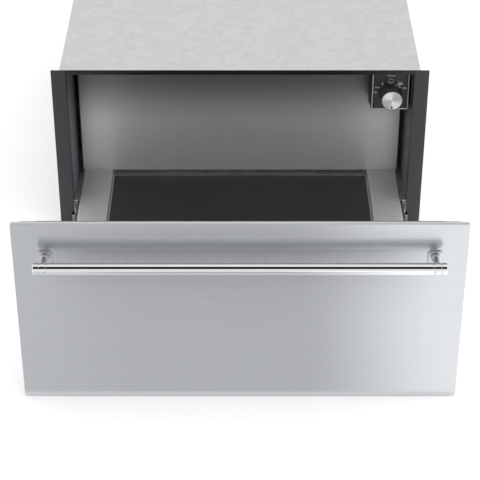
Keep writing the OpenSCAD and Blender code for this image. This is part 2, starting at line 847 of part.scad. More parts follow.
// A plate with rounded corners between the post and the front.
module handle_rose() {
    color(steel) placed(1) difference() {
        along_y(front_face_y - rose_t, rose_t)
            translate([post_x, bar_z - rose_h / 2 + rose_rise])
                rounded_rect(rose_w, rose_h, rose_corner_r);
        rod_y(post_x, bar_z, front_face_y - rose_t - eps, rose_t + 2 * eps, handle_bolt_d / 2 + hole_play);
    }
}
module handle_rose_right() { handle_rose(); }
module handle_rose_left() { left() handle_rose(); }

module handle_bolts() {
    color(zinc) placed(1)
        for (sx = [-1, 1]) {
            rod_y(sx * post_x, bar_z, front_face_y + front_skin_t, bolt_head_h, bolt_head_d / 2);
            rod_y(sx * post_x, bar_z, front_face_y - rose_t - bolt_grip, rose_t + bolt_grip + front_skin_t,
                  handle_bolt_d / 2 - thread_play);
        }
}

// ---- drawer base ----

module drawer_pan() {
    wall_top = platform_z - pan_t;
    color(zinc) placed(1) difference() {
        block([-pan_half, -front_seat, pan_z], [pan_half, drawer_d, wall_top]);
        block([-pan_half + pan_t, -front_seat + pan_t, pan_z + pan_t],
              [pan_half - pan_t, drawer_d - pan_t, wall_top + 1]);
        for (x = front_screw_xs()) {
            rod_y(x, front_screw_z(), -front_seat - eps, pan_t + 2 * eps, screw_d / 2 + hole_play);
            rod_y(x, front_screw_z(), drawer_d - pan_t - eps, pan_t + 2 * eps, screw_d / 2 + hole_play);
        }
    }
}

// A folded cover over the side of the pan and the slide, with its inner edge turned down to the plate.
module platform() {
    color(steel) placed(1) {
        along_y(-front_seat, front_seat + drawer_d) {
            translate([platform_in, platform_z - pan_t])
                square([platform_w, pan_t]);
            translate([platform_out - pan_t, platform_z - platform_fold])
                square([pan_t, platform_fold]);
        }
        block([platform_in, -front_seat + pan_t + fold_play, plate_top + trim_rise],
              [platform_in + pan_t, drawer_d - pan_t - fold_play, platform_z - pan_t / 2]);
    }
}
module platform_right() { platform(); }
module platform_left() { left() platform(); }

// The rib that carries a platform's inner edge, with a ledge for the plate.
module support() {
    x0 = platform_in + pan_t;
    color(zinc) placed(1)
        along_y(0, drawer_d - 2 * pan_t) {
            translate([x0, pan_z + pan_t])
                square([ledge_t, platform_z - 2 * pan_t - pan_z]);
            translate([plate_half - ledge_w, ledge_z])
                square([x0 - plate_half + ledge_w, ledge_t]);
        }
}
module support_right() { support(); }
module support_left() { left() support(); }

module warming_plate() {
    color([0.1, 0.09, 0.09]) placed(1)
        block([-plate_half, plate_inset + trim_w, plate_top - plate_t],
              [plate_half, plate_y1 - trim_w, plate_top]);
}

// The thin metal border that stands a little proud of the plate.
module plate_trim() {
    out = plate_half + trim_w;
    hole = plate_half + seat_play;
    top = plate_top + trim_rise;
    color(steel) placed(1) difference() {
        block([-out, plate_inset, plate_top - plate_t], [out, plate_y1, top]);
        block([-hole, plate_inset + trim_w - seat_play, plate_top - plate_t - eps],
              [hole, plate_y1 - trim_w + seat_play, top + eps]);
    }
}

tray_half = plate_half - ledge_w - 2;
tray_y0 = 12;
tray_y1 = drawer_d - tray_y0 - 2;
tray_z = pan_z + pan_t + insulation_t;

module heater_tray() {
    color(zinc) placed(1) difference() {
        block([-tray_half, tray_y0, tray_z], [tray_half, tray_y1, ledge_z - 0.3]);
        block([-tray_half + tray_t, tray_y0 + tray_t, tray_z + tray_t],
              [tray_half - tray_t, tray_y1 - tray_t, ledge_z]);
    }
}

// One tube bent back and forth: straight runs along X joined by half rings.
module heating_element() {
    r = element_d / 2;
    z = tray_z + tray_t + r;
    y0 = (tray_y0 + tray_y1) / 2 - (element_runs - 1) * element_pitch / 2;
    color("dimgray") placed(1) {
        for (i = [0 : element_runs - 1])
            rod_x(y0 + i * element_pitch, z, -element_run_len / 2, element_run_len, r);
        for (i = [0 : element_runs - 2])
            translate([(i % 2 == 0 ? 1 : -1) * element_run_len / 2, y0 + (i + 0.5) * element_pitch, z])
                rotate([0, 0, i % 2 == 0 ? -90 : 90])
                    rotate_extrude(angle = 180)
                        translate([element_pitch / 2, 0])
                            circle(r);
    }
}

module pan_insulation() {
    color(wool) placed(1) difference() {
        block([-platform_in + pan_t, 4, pan_z + pan_t], [platform_in - pan_t, drawer_d - 6, tray_z]);
        translate([0, cutout_y(), pan_z])
            cylinder(h = tray_z, r = cutout_d);
    }
}

function cutout_y() = drawer_d * 0.5;

// The thermal cut-out, clamped under the heater tray.
module thermal_cutout() {
    color(black) placed(1)
        translate([0, cutout_y(), tray_z]) {
            translate([0, 0, -cutout_h])
                cylinder(h = cutout_h, d = cutout_d);
            translate([-cutout_d * 0.8, -3, -1])
                cube([cutout_d * 1.6, 6, 1]);
        }
}

// The back wall: wide above the slides, narrow behind the pan, with its edges folded backwards.
module drawer_back() {
    wide_z = platform_z - pan_t;
    low_z = pan_z + back_foot_rise;
    color(steel) placed(1) {
        difference() {
            along_y(drawer_d, pan_t) {
                translate([-back_w / 2, wide_z])
                    square([back_w, back_top - wide_z]);
                translate([-pan_half + pan_margin, low_z])
                    square([2 * (pan_half - pan_margin), wide_z - low_z + eps]);
            }
            for (x = front_screw_xs())
                rod_y(x, front_screw_z(), drawer_d - eps, pan_t + 2 * eps, screw_d / 2 + hole_play);
        }
        for (x = [-back_w / 2, back_w / 2 - pan_t])
            block([x, drawer_d + pan_t, wide_z], [x + pan_t, drawer_d + back_fold_d, back_top - pan_t]);
        block([-back_w / 2, drawer_d + pan_t, back_top - pan_t], [back_w / 2, drawer_d + back_fold_d, back_top]);
    }
}

// A hat-section stiffener across the back wall.
module back_brace() {
    half = back_w / 2 - pan_t - 4;
    color(zinc) placed(1)
        along_x(-half, 2 * half)
            translate([drawer_d + pan_t, (platform_z + back_top - brace_h) / 2]) {
                for (z = [0, brace_h - brace_flange])
                    translate([0, z])
                        square([pan_t, brace_flange]);
                for (z = [brace_flange - pan_t, brace_h - brace_flange])
                    translate([0, z])
                        square([brace_d, pan_t]);
                translate([brace_d - pan_t, brace_flange - pan_t])
                    square([pan_t, brace_h - 2 * (brace_flange - pan_t)]);
            }
}

// The screws that join the pan to the front and to the back wall.
module drawer_screws() {
    color(zinc) placed(1)
        for (x = front_screw_xs()) {
            rod_y(x, front_screw_z(), -front_seat + pan_t, screw_head_h, screw_head_r);
            rod_y(x, front_screw_z(), -front_seat - screw_len, screw_len + pan_t, screw_d / 2);
            rod_y(x, front_screw_z(), drawer_d + pan_t, screw_head_h, screw_head_r);
            rod_y(x, front_screw_z(), drawer_d + pan_t - screw_len, screw_len, screw_d / 2);
        }
}

carcass_floor();
carcass_top();
carcass_back();
side_left();
side_right();
liner_left();
liner_right();
frame_strip_left();
frame_strip_right();
top_rail();
rail_outer_left();
rail_outer_right();
rail_outer_screws();
carcass_screws();
control_housing();
control_panel();
rotary_switch();
indicator_lens();
terminal_box();
cable_gland();
rail_middle_left();
rail_middle_right();
outer_cage_left();
outer_cage_right();
outer_balls();
inner_cage_left();
inner_cage_right();
inner_balls();
front_skin();
front_core();
front_inner_panel();
front_gasket();
handle_bar();
handle_collar_left();
handle_collar_right();
handle_cap_left();
handle_cap_right();
handle_rose_left();
handle_rose_right();
handle_bolts();
drawer_pan();
platform_left();
platform_right();
support_left();
support_right();
warming_plate();
plate_trim();
heater_tray();
heating_element();
pan_insulation();
thermal_cutout();
drawer_back();
back_brace();
rail_inner_left();
rail_inner_right();
drawer_screws();
knob_body();
knob_face();
knob_shaft();
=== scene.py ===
import json
import math
import bmesh
import bpy
import numpy as np
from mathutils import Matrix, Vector


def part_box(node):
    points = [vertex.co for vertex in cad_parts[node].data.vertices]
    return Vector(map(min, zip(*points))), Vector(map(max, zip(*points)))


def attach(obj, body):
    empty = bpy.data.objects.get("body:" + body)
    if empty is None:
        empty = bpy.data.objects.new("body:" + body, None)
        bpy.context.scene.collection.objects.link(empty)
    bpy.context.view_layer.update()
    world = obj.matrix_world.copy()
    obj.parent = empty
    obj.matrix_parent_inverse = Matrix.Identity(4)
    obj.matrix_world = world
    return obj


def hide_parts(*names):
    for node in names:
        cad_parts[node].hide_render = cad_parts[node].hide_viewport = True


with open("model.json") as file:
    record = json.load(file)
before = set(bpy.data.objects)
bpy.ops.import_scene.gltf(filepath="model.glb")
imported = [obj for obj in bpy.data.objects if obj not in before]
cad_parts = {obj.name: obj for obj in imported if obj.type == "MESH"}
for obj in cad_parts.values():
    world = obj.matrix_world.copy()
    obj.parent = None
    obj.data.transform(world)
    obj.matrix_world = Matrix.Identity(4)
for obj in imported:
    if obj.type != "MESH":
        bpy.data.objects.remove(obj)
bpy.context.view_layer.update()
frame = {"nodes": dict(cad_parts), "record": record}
nodes = frame["nodes"]
record = frame["record"]
bodyOf = {node: body for body, members in record["behaviour"]["bodies"].items() for node in members}
slotOf = {part["node"]: part["material_slot"] for part in record["subparts"]}
mm = 0.001
quarterTurn = math.pi / 2
fullTurn = 2 * math.pi
print("frame loaded:", len(nodes), "nodes")


def millimetres(**lengths):  # lengths given in millimetres and kept in metres
    return {key: length * mm for key, length in lengths.items()}


# Nodes and materials: small helpers

def fill(tree, sockets, values):
    # A value is another node's output, or it is fixed. One number for a colour is a grey.
    for key, value in values.items():
        if isinstance(value, bpy.types.NodeSocket):
            tree.links.new(value, sockets[key])
        elif sockets[key].type == "RGBA":
            sockets[key].default_value = (*np.broadcast_to(value, 3), 1)
        else:
            sockets[key].default_value = value


def addNode(tree, kind, inputs=None, output=0, **settings):  # gives one output of a new node
    node = tree.nodes.new("ShaderNode" + kind)
    for key, value in settings.items():
        setattr(node, key, value)
    fill(tree, node.inputs, inputs or {})
    return node.outputs[output]


def calculate(tree, operation, first, second=0.5, third=0.0, clamp=False):
    return addNode(tree, "Math", {0: first, 1: second, 2: third}, operation=operation, use_clamp=clamp)


def times(tree, first, second):
    return calculate(tree, "MULTIPLY", first, second)


def shifted(tree, value, factor, amount):  # the value plus factor times amount, kept between 0 and 1
    return calculate(tree, "MULTIPLY_ADD", factor, amount, value, clamp=True)


def spread(tree, value, low, high):  # a value from 0 to 1 is spread between low and high
    return addNode(tree, "MapRange", {"Value": value, "To Min": low, "To Max": high})


def ramp(tree, value, start, end, kind="SMOOTHSTEP"):  # 0 before start, 1 after end
    return addNode(tree, "MapRange", {"Value": value, "From Min": start, "From Max": end},
                   interpolation_type=kind)


def blendColours(tree, factor, first, second, mode="MIX"):
    return addNode(tree, "Mix", {0: factor, 6: first, 7: second}, 2, data_type="RGBA", blend_type=mode)


def layered(tree, look, *layers):  # over the dark colour, each layer has its share and its colour's name
    colour = look["dark"]
    for share, key in layers:
        colour = blendColours(tree, share, colour, look[key])
    return colour


def objectPlace(tree):
    return addNode(tree, "TexCoord", output="Object")


def noise(tree, place, scale, detail, output=0, **shape):
    return addNode(tree, "TexNoise", {"Vector": place, "Scale": scale, "Detail": detail, **shape}, output)


def bumped(tree, height, strength, distance=0.0001):
    return addNode(tree, "Bump", {"Height": height, "Strength": strength, "Distance": distance})


def newGroup(name, inputs, outputs):
    group = bpy.data.node_groups.new(name, "ShaderNodeTree")
    for label, value in inputs.items():
        kind = "NodeSocketVector" if isinstance(value, tuple) else "NodeSocketFloat"
        group.interface.new_socket(name=label, in_out="INPUT", socket_type=kind).default_value = value
    for label in outputs:
        group.interface.new_socket(name=label, in_out="OUTPUT", socket_type="NodeSocketFloat")
    return group, group.nodes.new("NodeGroupInput").outputs, group.nodes.new("NodeGroupOutput").inputs


def useGroup(tree, group, **inputs):  # gives the only output of a group, or all of them
    node = tree.nodes.new("ShaderNodeGroup")
    node.node_tree = group
    fill(tree, node.inputs, inputs)
    return node.outputs if len(node.outputs) > 1 else node.outputs[0]


def newMaterial(name, fixed):
    material = bpy.data.materials.new(name)
    material.use_nodes = True
    tree = material.node_tree
    sockets = tree.nodes["Principled BSDF"].inputs
    fill(tree, sockets, fixed)
    return material, tree, sockets


# Effects that several materials share

def makeBrushGrain():  # long streaks: noise on object coordinates that are stretched along the grain
    inputs = {"Stretch": (6, 700, 700), "Coarse": 0.4}
    group, given, result = newGroup("brushGrain", inputs, ["Streaks", "Height"])
    place = objectPlace(group)
    stretched = addNode(group, "VectorMath", {0: place, 1: given["Stretch"]}, operation="MULTIPLY")
    fine = noise(group, stretched, 1.0, 3.0, Roughness=0.7)
    wide = noise(group, stretched, 0.16, 2.0, Roughness=0.5)
    mixed = addNode(group, "Mix", {0: given["Coarse"], 2: fine, 3: wide})
    fill(group, result, {"Streaks": mixed, "Height": fine})
    return group


def makeHandling():  # soft uneven patches, as cleaning and fingers leave them
    group, given, result = newGroup("handling", {"Scale": 8.0}, ["Patches"])
    patches = noise(group, objectPlace(group), given["Scale"], 4.0, Roughness=0.55, Distortion=0.6)
    fill(group, result, {"Patches": ramp(group, patches, 0.3, 0.7)})
    return group


def makeEdgeWearAndPaintedShade():  # 1 on edges and corners, where the rounded normal leaves the true one. The colour laid by it is rubbed wear, and painted shade where a look's edge colour is darker.
    group, given, result = newGroup("edgeWearAndPaintedShade", {"Width": 0.0008, "Breakup": 0.5}, ["Edge"])
    rounded = addNode(group, "Bevel", {"Radius": given["Width"]}, samples=4)
    true = addNode(group, "NewGeometry", output="True Normal")
    agree = addNode(group, "VectorMath", {0: rounded, 1: true}, "Value", operation="DOT_PRODUCT")
    edge = ramp(group, agree, 0.995, 0.9, "LINEAR")
    broken = noise(group, objectPlace(group), 120.0, 3.0)
    kept = addNode(group, "Mix", {0: given["Breakup"], 2: 1.0, 3: broken})
    fill(group, result, {"Edge": times(group, edge, kept)})
    return group


def makeSpangle():  # the flat crystals of a zinc coat: cells, each with its own shade
    group, given, result = newGroup("spangle", {"Scale": 90.0}, ["Shade"])
    place = objectPlace(group)
    drift = noise(group, place, 60.0, 2.0, "Color")
    bend = addNode(group, "VectorMath", {0: drift, 1: (0.006,) * 3}, operation="MULTIPLY")
    warped = addNode(group, "VectorMath", {0: place, 1: bend}, operation="ADD")
    cells = addNode(group, "TexVoronoi", {"Vector": warped, "Scale": given["Scale"]}, "Color")
    fill(group, result, {"Shade": addNode(group, "SeparateColor", {0: cells})})
    return group


def makeMoulding():  # the fine grain of moulded plastic, rubber or paint
    group, given, result = newGroup("moulding", {"Scale": 1500.0}, ["Grain", "Pits"])
    place, scale = objectPlace(group), given["Scale"]
    pits = addNode(group, "TexVoronoi", {"Vector": place, "Scale": scale}, "Distance", feature="SMOOTH_F1")
    fill(group, result, {"Grain": noise(group, place, scale, 2.0), "Pits": pits})
    return group


def makeDust():  # thin dust on faces that look up, broken up by noise
    group, given, result = newGroup("settledDust", {"Amount": 0.2}, ["Dust"])
    up = addNode(group, "SeparateXYZ", {0: addNode(group, "NewGeometry", output="Normal")}, "Z")
    flat = ramp(group, up, 0.5, 1.0, "LINEAR")
    dusty = times(group, flat, noise(group, objectPlace(group), 35.0, 6.0))
    fill(group, result, {"Dust": times(group, dusty, given["Amount"])})
    return group


brushGrain = makeBrushGrain()
handling = makeHandling()
edgeWearAndPaintedShade = makeEdgeWearAndPaintedShade()
spangle = makeSpangle()
moulding = makeMoulding()
settledDust = makeDust()
print("shared effects made")


# Metals

def brushedMetal(name, look):  # streaks shade the colour and the roughness, and edges take the edge colour: rubbed brighter on most metals, a painted shade outline on the rose steel
    # Brushed grooves spread light across themselves, so the highlight is turned a quarter from the grain
    material, tree, sockets = newMaterial(name, {
        "Metallic": look.get("metallic", 1.0), "Anisotropic": look.get("anisotropic", 0.0),
        "Anisotropic Rotation": 0.25})
    grain = useGroup(tree, brushGrain, Stretch=look["stretch"], Coarse=look.get("coarse", 0.4))
    patches = useGroup(tree, handling, Scale=look.get("patchScale", 7.0))
    edge = useGroup(tree, edgeWearAndPaintedShade)
    layers = [(spread(tree, grain["Streaks"], -0.4, 1.4), "light"),
              (spread(tree, patches, 0.0, look.get("patchShade", 0.08)), "patch")]
    if "paintedTopShade" in look:  # painted shade: the sheet is darkened towards its top edge, where the carcass top shades it
        height = addNode(tree, "SeparateXYZ", {0: objectPlace(tree)}, "Z")
        layers.append((ramp(tree, height, *look["paintedTopShade"]), "top"))
    rough = spread(tree, grain["Streaks"], *look["roughness"])
    rough = shifted(tree, rough, patches, look.get("patchRoughness", 0.05))
    fill(tree, sockets, {
        "Base Color": layered(tree, look, *layers, (times(tree, edge, 0.6), "edge")),
        "Roughness": shifted(tree, rough, edge, -0.06),
        "Normal": bumped(tree, grain["Height"], look.get("bump", 0.1), 0.0002)})
    if "anisotropic" in look:
        fill(tree, sockets, {"Tangent": addNode(tree, "Tangent", direction_type="UV_MAP")})
    return material


def turnedDisc(name, look):
    # Colour: painted reflection, dark to light by the cosine of twice the angle from the bright one, in
    # four sectors of painted highlight and shade that stand in for the turned metal's conic reflections,
    # times fine rings
    material, tree, sockets = newMaterial(name, {
        "Metallic": 1.0, "Anisotropic": 0.8, "Anisotropic Rotation": 0.25})
    polar = addNode(tree, "UVMap", uv_map="UVMap")
    angle, radius = (addNode(tree, "SeparateXYZ", {0: polar}, axis) for axis in "XY")
    twice = calculate(tree, "MULTIPLY_ADD", angle, 2 * fullTurn, -2 * math.radians(look["paintedHighlightAngle"]))
    paintedHighlight = ramp(tree, calculate(tree, "COSINE", twice), -0.9, 1.0)
    rings = noise(tree, addNode(tree, "CombineXYZ", {0: radius}), look["rings"], 3.0)
    paintedSectors = layered(tree, look, (paintedHighlight, "light"))
    shade = spread(tree, rings, *look["ringShade"])
    fill(tree, sockets, {
        "Base Color": blendColours(tree, 1.0, paintedSectors, shade, "MULTIPLY"),
        "Roughness": spread(tree, rings, *look["roughness"]), "Normal": bumped(tree, rings, look["bump"]),
        "Tangent": addNode(tree, "Tangent", direction_type="UV_MAP")})
    return material


def zincSheet(name, look):  # crystals of the zinc coat over faint rolling marks, with thin dust on top
    material, tree, sockets = newMaterial(name, {"Metallic": 1.0})
    cells, fineCells = (useGroup(tree, spangle, Scale=scale) for scale in look["scales"])
    rolling = useGroup(tree, brushGrain, Stretch=(260, 5, 260), Coarse=0.5)
    edge = useGroup(tree, edgeWearAndPaintedShade, Width=0.0007)
    dust = useGroup(tree, settledDust, Amount=look["dust"])
    both = addNode(tree, "Mix", {0: 0.35, 2: cells, 3: fineCells})
    rolled = spread(tree, rolling["Streaks"], 0.0, 0.35)
    rough = spread(tree, both, *look["roughness"])
    fill(tree, sockets, {
        "Base Color": layered(tree, look, (both, "light"), (rolled, "rolled"),
                              (times(tree, edge, 0.5), "edge"), (dust, "dusty")),
        "Roughness": shifted(tree, rough, dust, 0.4),
        "Metallic": shifted(tree, 1.0, dust, -0.6),
        "Normal": bumped(tree, rolling["Height"], 0.08, 0.0002)})
    return material


# In these dictionaries a colour of one number is a grey
frontLook = dict(
    dark=(0.585, 0.597, 0.616), light=(0.632, 0.644, 0.663), patch=(0.57, 0.583, 0.605),
    edge=(0.82, 0.83, 0.85), roughness=(0.21, 0.24), stretch=(3, 520, 520), anisotropic=0.5, patchScale=3.0,
    patchShade=0.05, patchRoughness=0.015, bump=0.01, coarse=0.15)
# The wall's top colour, laid over the given band of height, is painted shade: darker towards the top edge
wallLook = dict(
    dark=(0.78, 0.785, 0.775), light=(0.93, 0.935, 0.925), patch=(0.78, 0.785, 0.775),
    edge=(0.93, 0.93, 0.92), roughness=(0.44, 0.52), stretch=(25, 1500, 1500), anisotropic=0.8,
    patchScale=5.0, patchShade=0.1, coarse=0.1, paintedTopShade=(0.13, 0.225), top=(0.25, 0.25, 0.245),
    metallic=0.86)
platformLook = dict(
    dark=0.78, light=0.9, patch=(0.79, 0.79, 0.8), edge=0.95, roughness=(0.64, 0.74), stretch=(5, 900, 900),
    patchScale=12.0, patchShade=0.12, coarse=0.2, metallic=0.93)
handleLook = dict(
    dark=(0.76, 0.77, 0.77), light=(0.84, 0.85, 0.85), patch=(0.78, 0.79, 0.79), edge=(0.9, 0.9, 0.91),
    roughness=(0.05, 0.08), stretch=(4, 900, 900), patchScale=20.0, patchShade=0.06, bump=0.02,
    patchRoughness=0.02)
# The rose steel's edge colour is darker than its sheet: a painted shade outline round its edges
roseLook = handleLook | dict(
    dark=(0.6, 0.61, 0.62), light=(0.7, 0.71, 0.72), roughness=(0.3, 0.38), edge=(0.44, 0.44, 0.46))
trimLook = handleLook | dict(
    dark=(0.72, 0.72, 0.71), light=(0.82, 0.82, 0.81), roughness=(0.2, 0.25), bump=0.0)
ballLook = handleLook | dict(roughness=(0.04, 0.08), stretch=(300, 300, 300))
railLook = dict(
    dark=(0.62, 0.63, 0.65), light=(0.78, 0.79, 0.81), patch=(0.66, 0.67, 0.66), edge=(0.8, 0.8, 0.82),
    roughness=(0.28, 0.42), stretch=(700, 6, 700))
cageLook = dict(
    dark=(0.62, 0.63, 0.64), light=(0.78, 0.79, 0.8), patch=(0.6, 0.6, 0.58), edge=(0.88, 0.88, 0.89),
    roughness=(0.29, 0.4), stretch=(600, 8, 600), patchShade=0.3)
screwLook = dict(
    dark=(0.46, 0.47, 0.48), light=(0.62, 0.63, 0.64), patch=0.4, edge=(0.82, 0.82, 0.83),
    roughness=(0.24, 0.4), stretch=(900, 900, 900), patchScale=60.0, patchShade=0.3)
# Dark, light and the bright angle paint the disc's reflections: four sectors of painted highlight and shade
discLook = dict(
    dark=(0.52, 0.52, 0.53), light=0.98, ringShade=(0.9, 1.0), rings=60.0, roughness=(0.28, 0.36),
    paintedHighlightAngle=125.0, bump=0.04)
zincLook = dict(
    scales=(70.0, 217.0), dark=(0.56, 0.57, 0.58), light=(0.7, 0.71, 0.72), rolled=(0.65, 0.66, 0.67),
    edge=(0.8, 0.8, 0.81), dusty=(0.8, 0.79, 0.77), dust=0.18, roughness=(0.3, 0.46))


# Paint, plastic, rubber, glass and wool

def mouldedSurface(name, look):  # fine grain in the bump, soft patches in the gloss, edges a little paler
    material, tree, sockets = newMaterial(name, {
        "Metallic": 0.0, "IOR": 1.5, "Coat Roughness": 0.15, "Coat Weight": look.get("coat", 0.0)})
    grain = useGroup(tree, moulding, Scale=look["grainScale"])
    patches = useGroup(tree, handling, Scale=12.0)
    edge = useGroup(tree, edgeWearAndPaintedShade)
    dust = useGroup(tree, settledDust, Amount=look.get("dust", 0.05))
    colour = layered(tree, look, (grain["Grain"], "light"),
                     (spread(tree, patches, 0.0, 0.3), "patch"), (times(tree, edge, 0.5), "edge"))
    rough = spread(tree, patches, *look["roughness"])
    fill(tree, sockets, {
        "Base Color": blendColours(tree, dust, colour, (0.45, 0.44, 0.42)),
        "Roughness": shifted(tree, rough, edge, -0.08),
        "Normal": bumped(tree, grain["Pits"], look.get("bump", 0.15))})
    return material


def paintedFrame(name, look):  # dark satin paint that lets the brushed sheet under it show as faint streaks
    material, tree, sockets = newMaterial(name, {
        "Metallic": 0.35, "IOR": 1.5, "Coat Roughness": 0.22, "Coat Weight": look["coat"]})
    streaks = useGroup(tree, brushGrain, Stretch=look["stretch"], Coarse=0.5)["Streaks"]
    speck = useGroup(tree, moulding, Scale=1800.0)["Grain"]
    edge = useGroup(tree, edgeWearAndPaintedShade, Width=0.0009)
    patches = useGroup(tree, handling, Scale=9.0)
    # The edge layer is rubbed wear where the edge colour is paler, and a painted dark reflection on the
    # frame look
    colour = layered(tree, look, (streaks, "light"),
                     (spread(tree, patches, 0.0, 0.25), "patch"), (times(tree, edge, 0.8), "edge"))
    fill(tree, sockets, {
        "Base Color": colour, "Roughness": spread(tree, streaks, *look["roughness"]),
        "Normal": bumped(tree, speck, 0.12)})
    return material


def glassCeramic(name, look):  # dark glass with tiny specks in it and a satin top that pans have rubbed
    material, tree, sockets = newMaterial(name, {"Metallic": 0.0, "IOR": 1.5, "Specular IOR Level": 0.4})
    specks = addNode(tree, "TexVoronoi", {"Vector": objectPlace(tree), "Scale": look["speckScale"]})
    shown = ramp(tree, specks, 0.16, 0.05, "LINEAR")
    patches = useGroup(tree, handling, Scale=5.0)
    rubs = useGroup(tree, brushGrain, Stretch=(60, 90, 60), Coarse=0.2)
    edge = useGroup(tree, edgeWearAndPaintedShade)
    colour = layered(tree, look, (patches, "light"), (times(tree, shown, 0.5), "speck"),
                     (times(tree, edge, 0.4), "edge"))
    rough = spread(tree, patches, *look["roughness"])
    fill(tree, sockets, {
        "Base Color": colour, "Normal": bumped(tree, rubs["Height"], 0.01),
        "Roughness": shifted(tree, rough, rubs["Streaks"], 0.04)})
    return material


def mineralWool(name, look):  # matted fibres: two crossed sets of stretched noise in colour and bump
    material, tree, sockets = newMaterial(name, {
        "Metallic": 0.0, "Sheen Weight": 0.3, "Sheen Roughness": 0.5})
    lengthwise, crosswise = (useGroup(tree, brushGrain, Stretch=stretch, Coarse=0.5)["Streaks"]
                             for stretch in look["fibres"])
    matted = calculate(tree, "MAXIMUM", lengthwise, crosswise)
    patches = useGroup(tree, handling, Scale=30.0)
    colour = layered(tree, look, (matted, "light"), (spread(tree, patches, 0.0, 0.4), "patch"))
    fill(tree, sockets, {
        "Base Color": colour, "Roughness": spread(tree, patches, 0.85, 0.98),
        "Normal": bumped(tree, matted, 0.6, 0.0008)})
    return material


# Here the edge colour is darker than the paint: a painted reflection, dark lines where the rounded edges
# mirror the dark inside
frameLook = dict(
    dark=(0.02, 0.021, 0.023), light=(0.046, 0.047, 0.051), patch=(0.036, 0.036, 0.04),
    edge=(0.012, 0.012, 0.014), roughness=(0.38, 0.5), stretch=(600, 600, 5), coat=0.25)
topRailLook = frameLook | dict(
    dark=(0.008, 0.008, 0.011), light=(0.02, 0.02, 0.025), coat=0.0, patch=(0.015, 0.015, 0.018),
    roughness=(0.16, 0.22), stretch=(5, 600, 600))
linerLook = frameLook | dict(
    dark=(0.136, 0.144, 0.166), light=(0.208, 0.22, 0.254), patch=(0.16, 0.168, 0.19),
    edge=(0.26, 0.26, 0.28))
blackLook = dict(
    dark=(0.006, 0.006, 0.007), light=(0.016, 0.016, 0.018), patch=(0.012, 0.012, 0.014),
    edge=(0.06, 0.06, 0.065), roughness=(0.42, 0.56), grainScale=1300.0)
panelLook = dict(
    dark=(0.02, 0.02, 0.021), light=(0.04, 0.04, 0.042), patch=(0.03, 0.03, 0.032),
    edge=(0.12, 0.12, 0.125), roughness=(0.29, 0.36), grainScale=2200.0, bump=0.06)
knobLook = dict(
    dark=(0.036, 0.036, 0.038), light=(0.062, 0.062, 0.065), patch=(0.048, 0.048, 0.05),
    edge=(0.1, 0.1, 0.105), roughness=(0.34, 0.46), grainScale=1800.0)
sealLook = dict(
    dark=0.012, light=(0.028, 0.028, 0.029), patch=0.03, edge=0.06, roughness=(0.55, 0.7), grainScale=900.0,
    bump=0.25, dust=0.15)
switchLook = dict(
    dark=(0.09, 0.09, 0.095), light=(0.16, 0.16, 0.17), patch=0.12, edge=(0.26, 0.26, 0.27),
    roughness=(0.4, 0.52), grainScale=1500.0)
elementLook = dict(
    dark=(0.1, 0.09, 0.08), light=(0.2, 0.18, 0.16), patch=(0.24, 0.17, 0.11), edge=(0.3, 0.28, 0.25),
    roughness=(0.5, 0.65), grainScale=700.0)
porcelainLook = dict(
    dark=(0.66, 0.63, 0.58), light=(0.78, 0.75, 0.7), patch=(0.7, 0.66, 0.6), edge=(0.86, 0.84, 0.8),
    roughness=(0.2, 0.32), grainScale=500.0, coat=0.4)
lensLook = dict(
    dark=(0.15, 0.15, 0.155), light=(0.2, 0.2, 0.21), patch=(0.18, 0.18, 0.185), edge=(0.24, 0.24, 0.25),
    roughness=(0.14, 0.22), grainScale=900.0, bump=0.03, coat=0.5)
printLook = dict(
    dark=(0.34, 0.35, 0.36), light=(0.48, 0.49, 0.5), patch=(0.42, 0.43, 0.44), edge=0.5,
    roughness=(0.45, 0.6), grainScale=2500.0, bump=0.1)
brightPrintLook = printLook | dict(dark=(0.62, 0.63, 0.64), light=(0.76, 0.77, 0.78))
glassLook = dict(
    dark=(0.019, 0.0172, 0.016), light=(0.027, 0.0245, 0.0225), speck=(0.07, 0.065, 0.06),
    edge=(0.16, 0.15, 0.14), speckScale=420.0, roughness=(0.29, 0.34))
woolLook = dict(
    dark=(0.42, 0.36, 0.22), light=(0.74, 0.68, 0.5), patch=(0.58, 0.5, 0.33),
    fibres=((90, 900, 700), (800, 120, 600)))

finishes = {
    "front_steel": brushedMetal("frontSteel", frontLook),
    "inner_steel": brushedMetal("wallSteel", wallLook),
    "handle_steel": brushedMetal("polishedBar", handleLook),
    "rose_steel": brushedMetal("roseSteel", roseLook),
    "trim_steel": brushedMetal("trimSteel", trimLook),
    "zinc_sheet": zincSheet("zincSheet", zincLook),
    "frame_dark": paintedFrame("darkFramePaint", frameLook),
    "rail_steel": brushedMetal("railSteel", railLook),
    "cage_steel": brushedMetal("cageStrip", cageLook),
    "ball_steel": brushedMetal("polishedBalls", ballLook),
    "screw_steel": brushedMetal("platedScrews", screwLook),
    "control_black": mouldedSurface("blackMoulding", blackLook),
    "panel_black": mouldedSurface("panelBlack", panelLook),
    "knob_black": mouldedSurface("knobBlack", knobLook),
    "knob_metal": turnedDisc("turnedAluminium", discLook),
    "lens_grey": mouldedSurface("lampLens", lensLook),
    "switch_plastic": mouldedSurface("switchMoulding", switchLook),
    "shaft_steel": brushedMetal("turnedShaft", screwLook),
    "plate_glass": glassCeramic("glassCeramic", glassLook),
    "wool": mineralWool("mineralWool", woolLook),
    "seal": mouldedSurface("siliconeSeal", sealLook),
    "element": mouldedSurface("oxidisedSheath", elementLook),
    "cutout_body": mouldedSurface("glazedPorcelain", porcelainLook),
}
platformSteel = brushedMetal("platformSteel", platformLook)
linerPaint = paintedFrame("linerPaint", linerLook)
topRailPaint = paintedFrame("topRailPaint", topRailLook)
greyPrint = mouldedSurface("greyPrint", printLook)
brightPrint = mouldedSurface("brightPrint", brightPrintLook)
print("materials made:", len(bpy.data.materials))

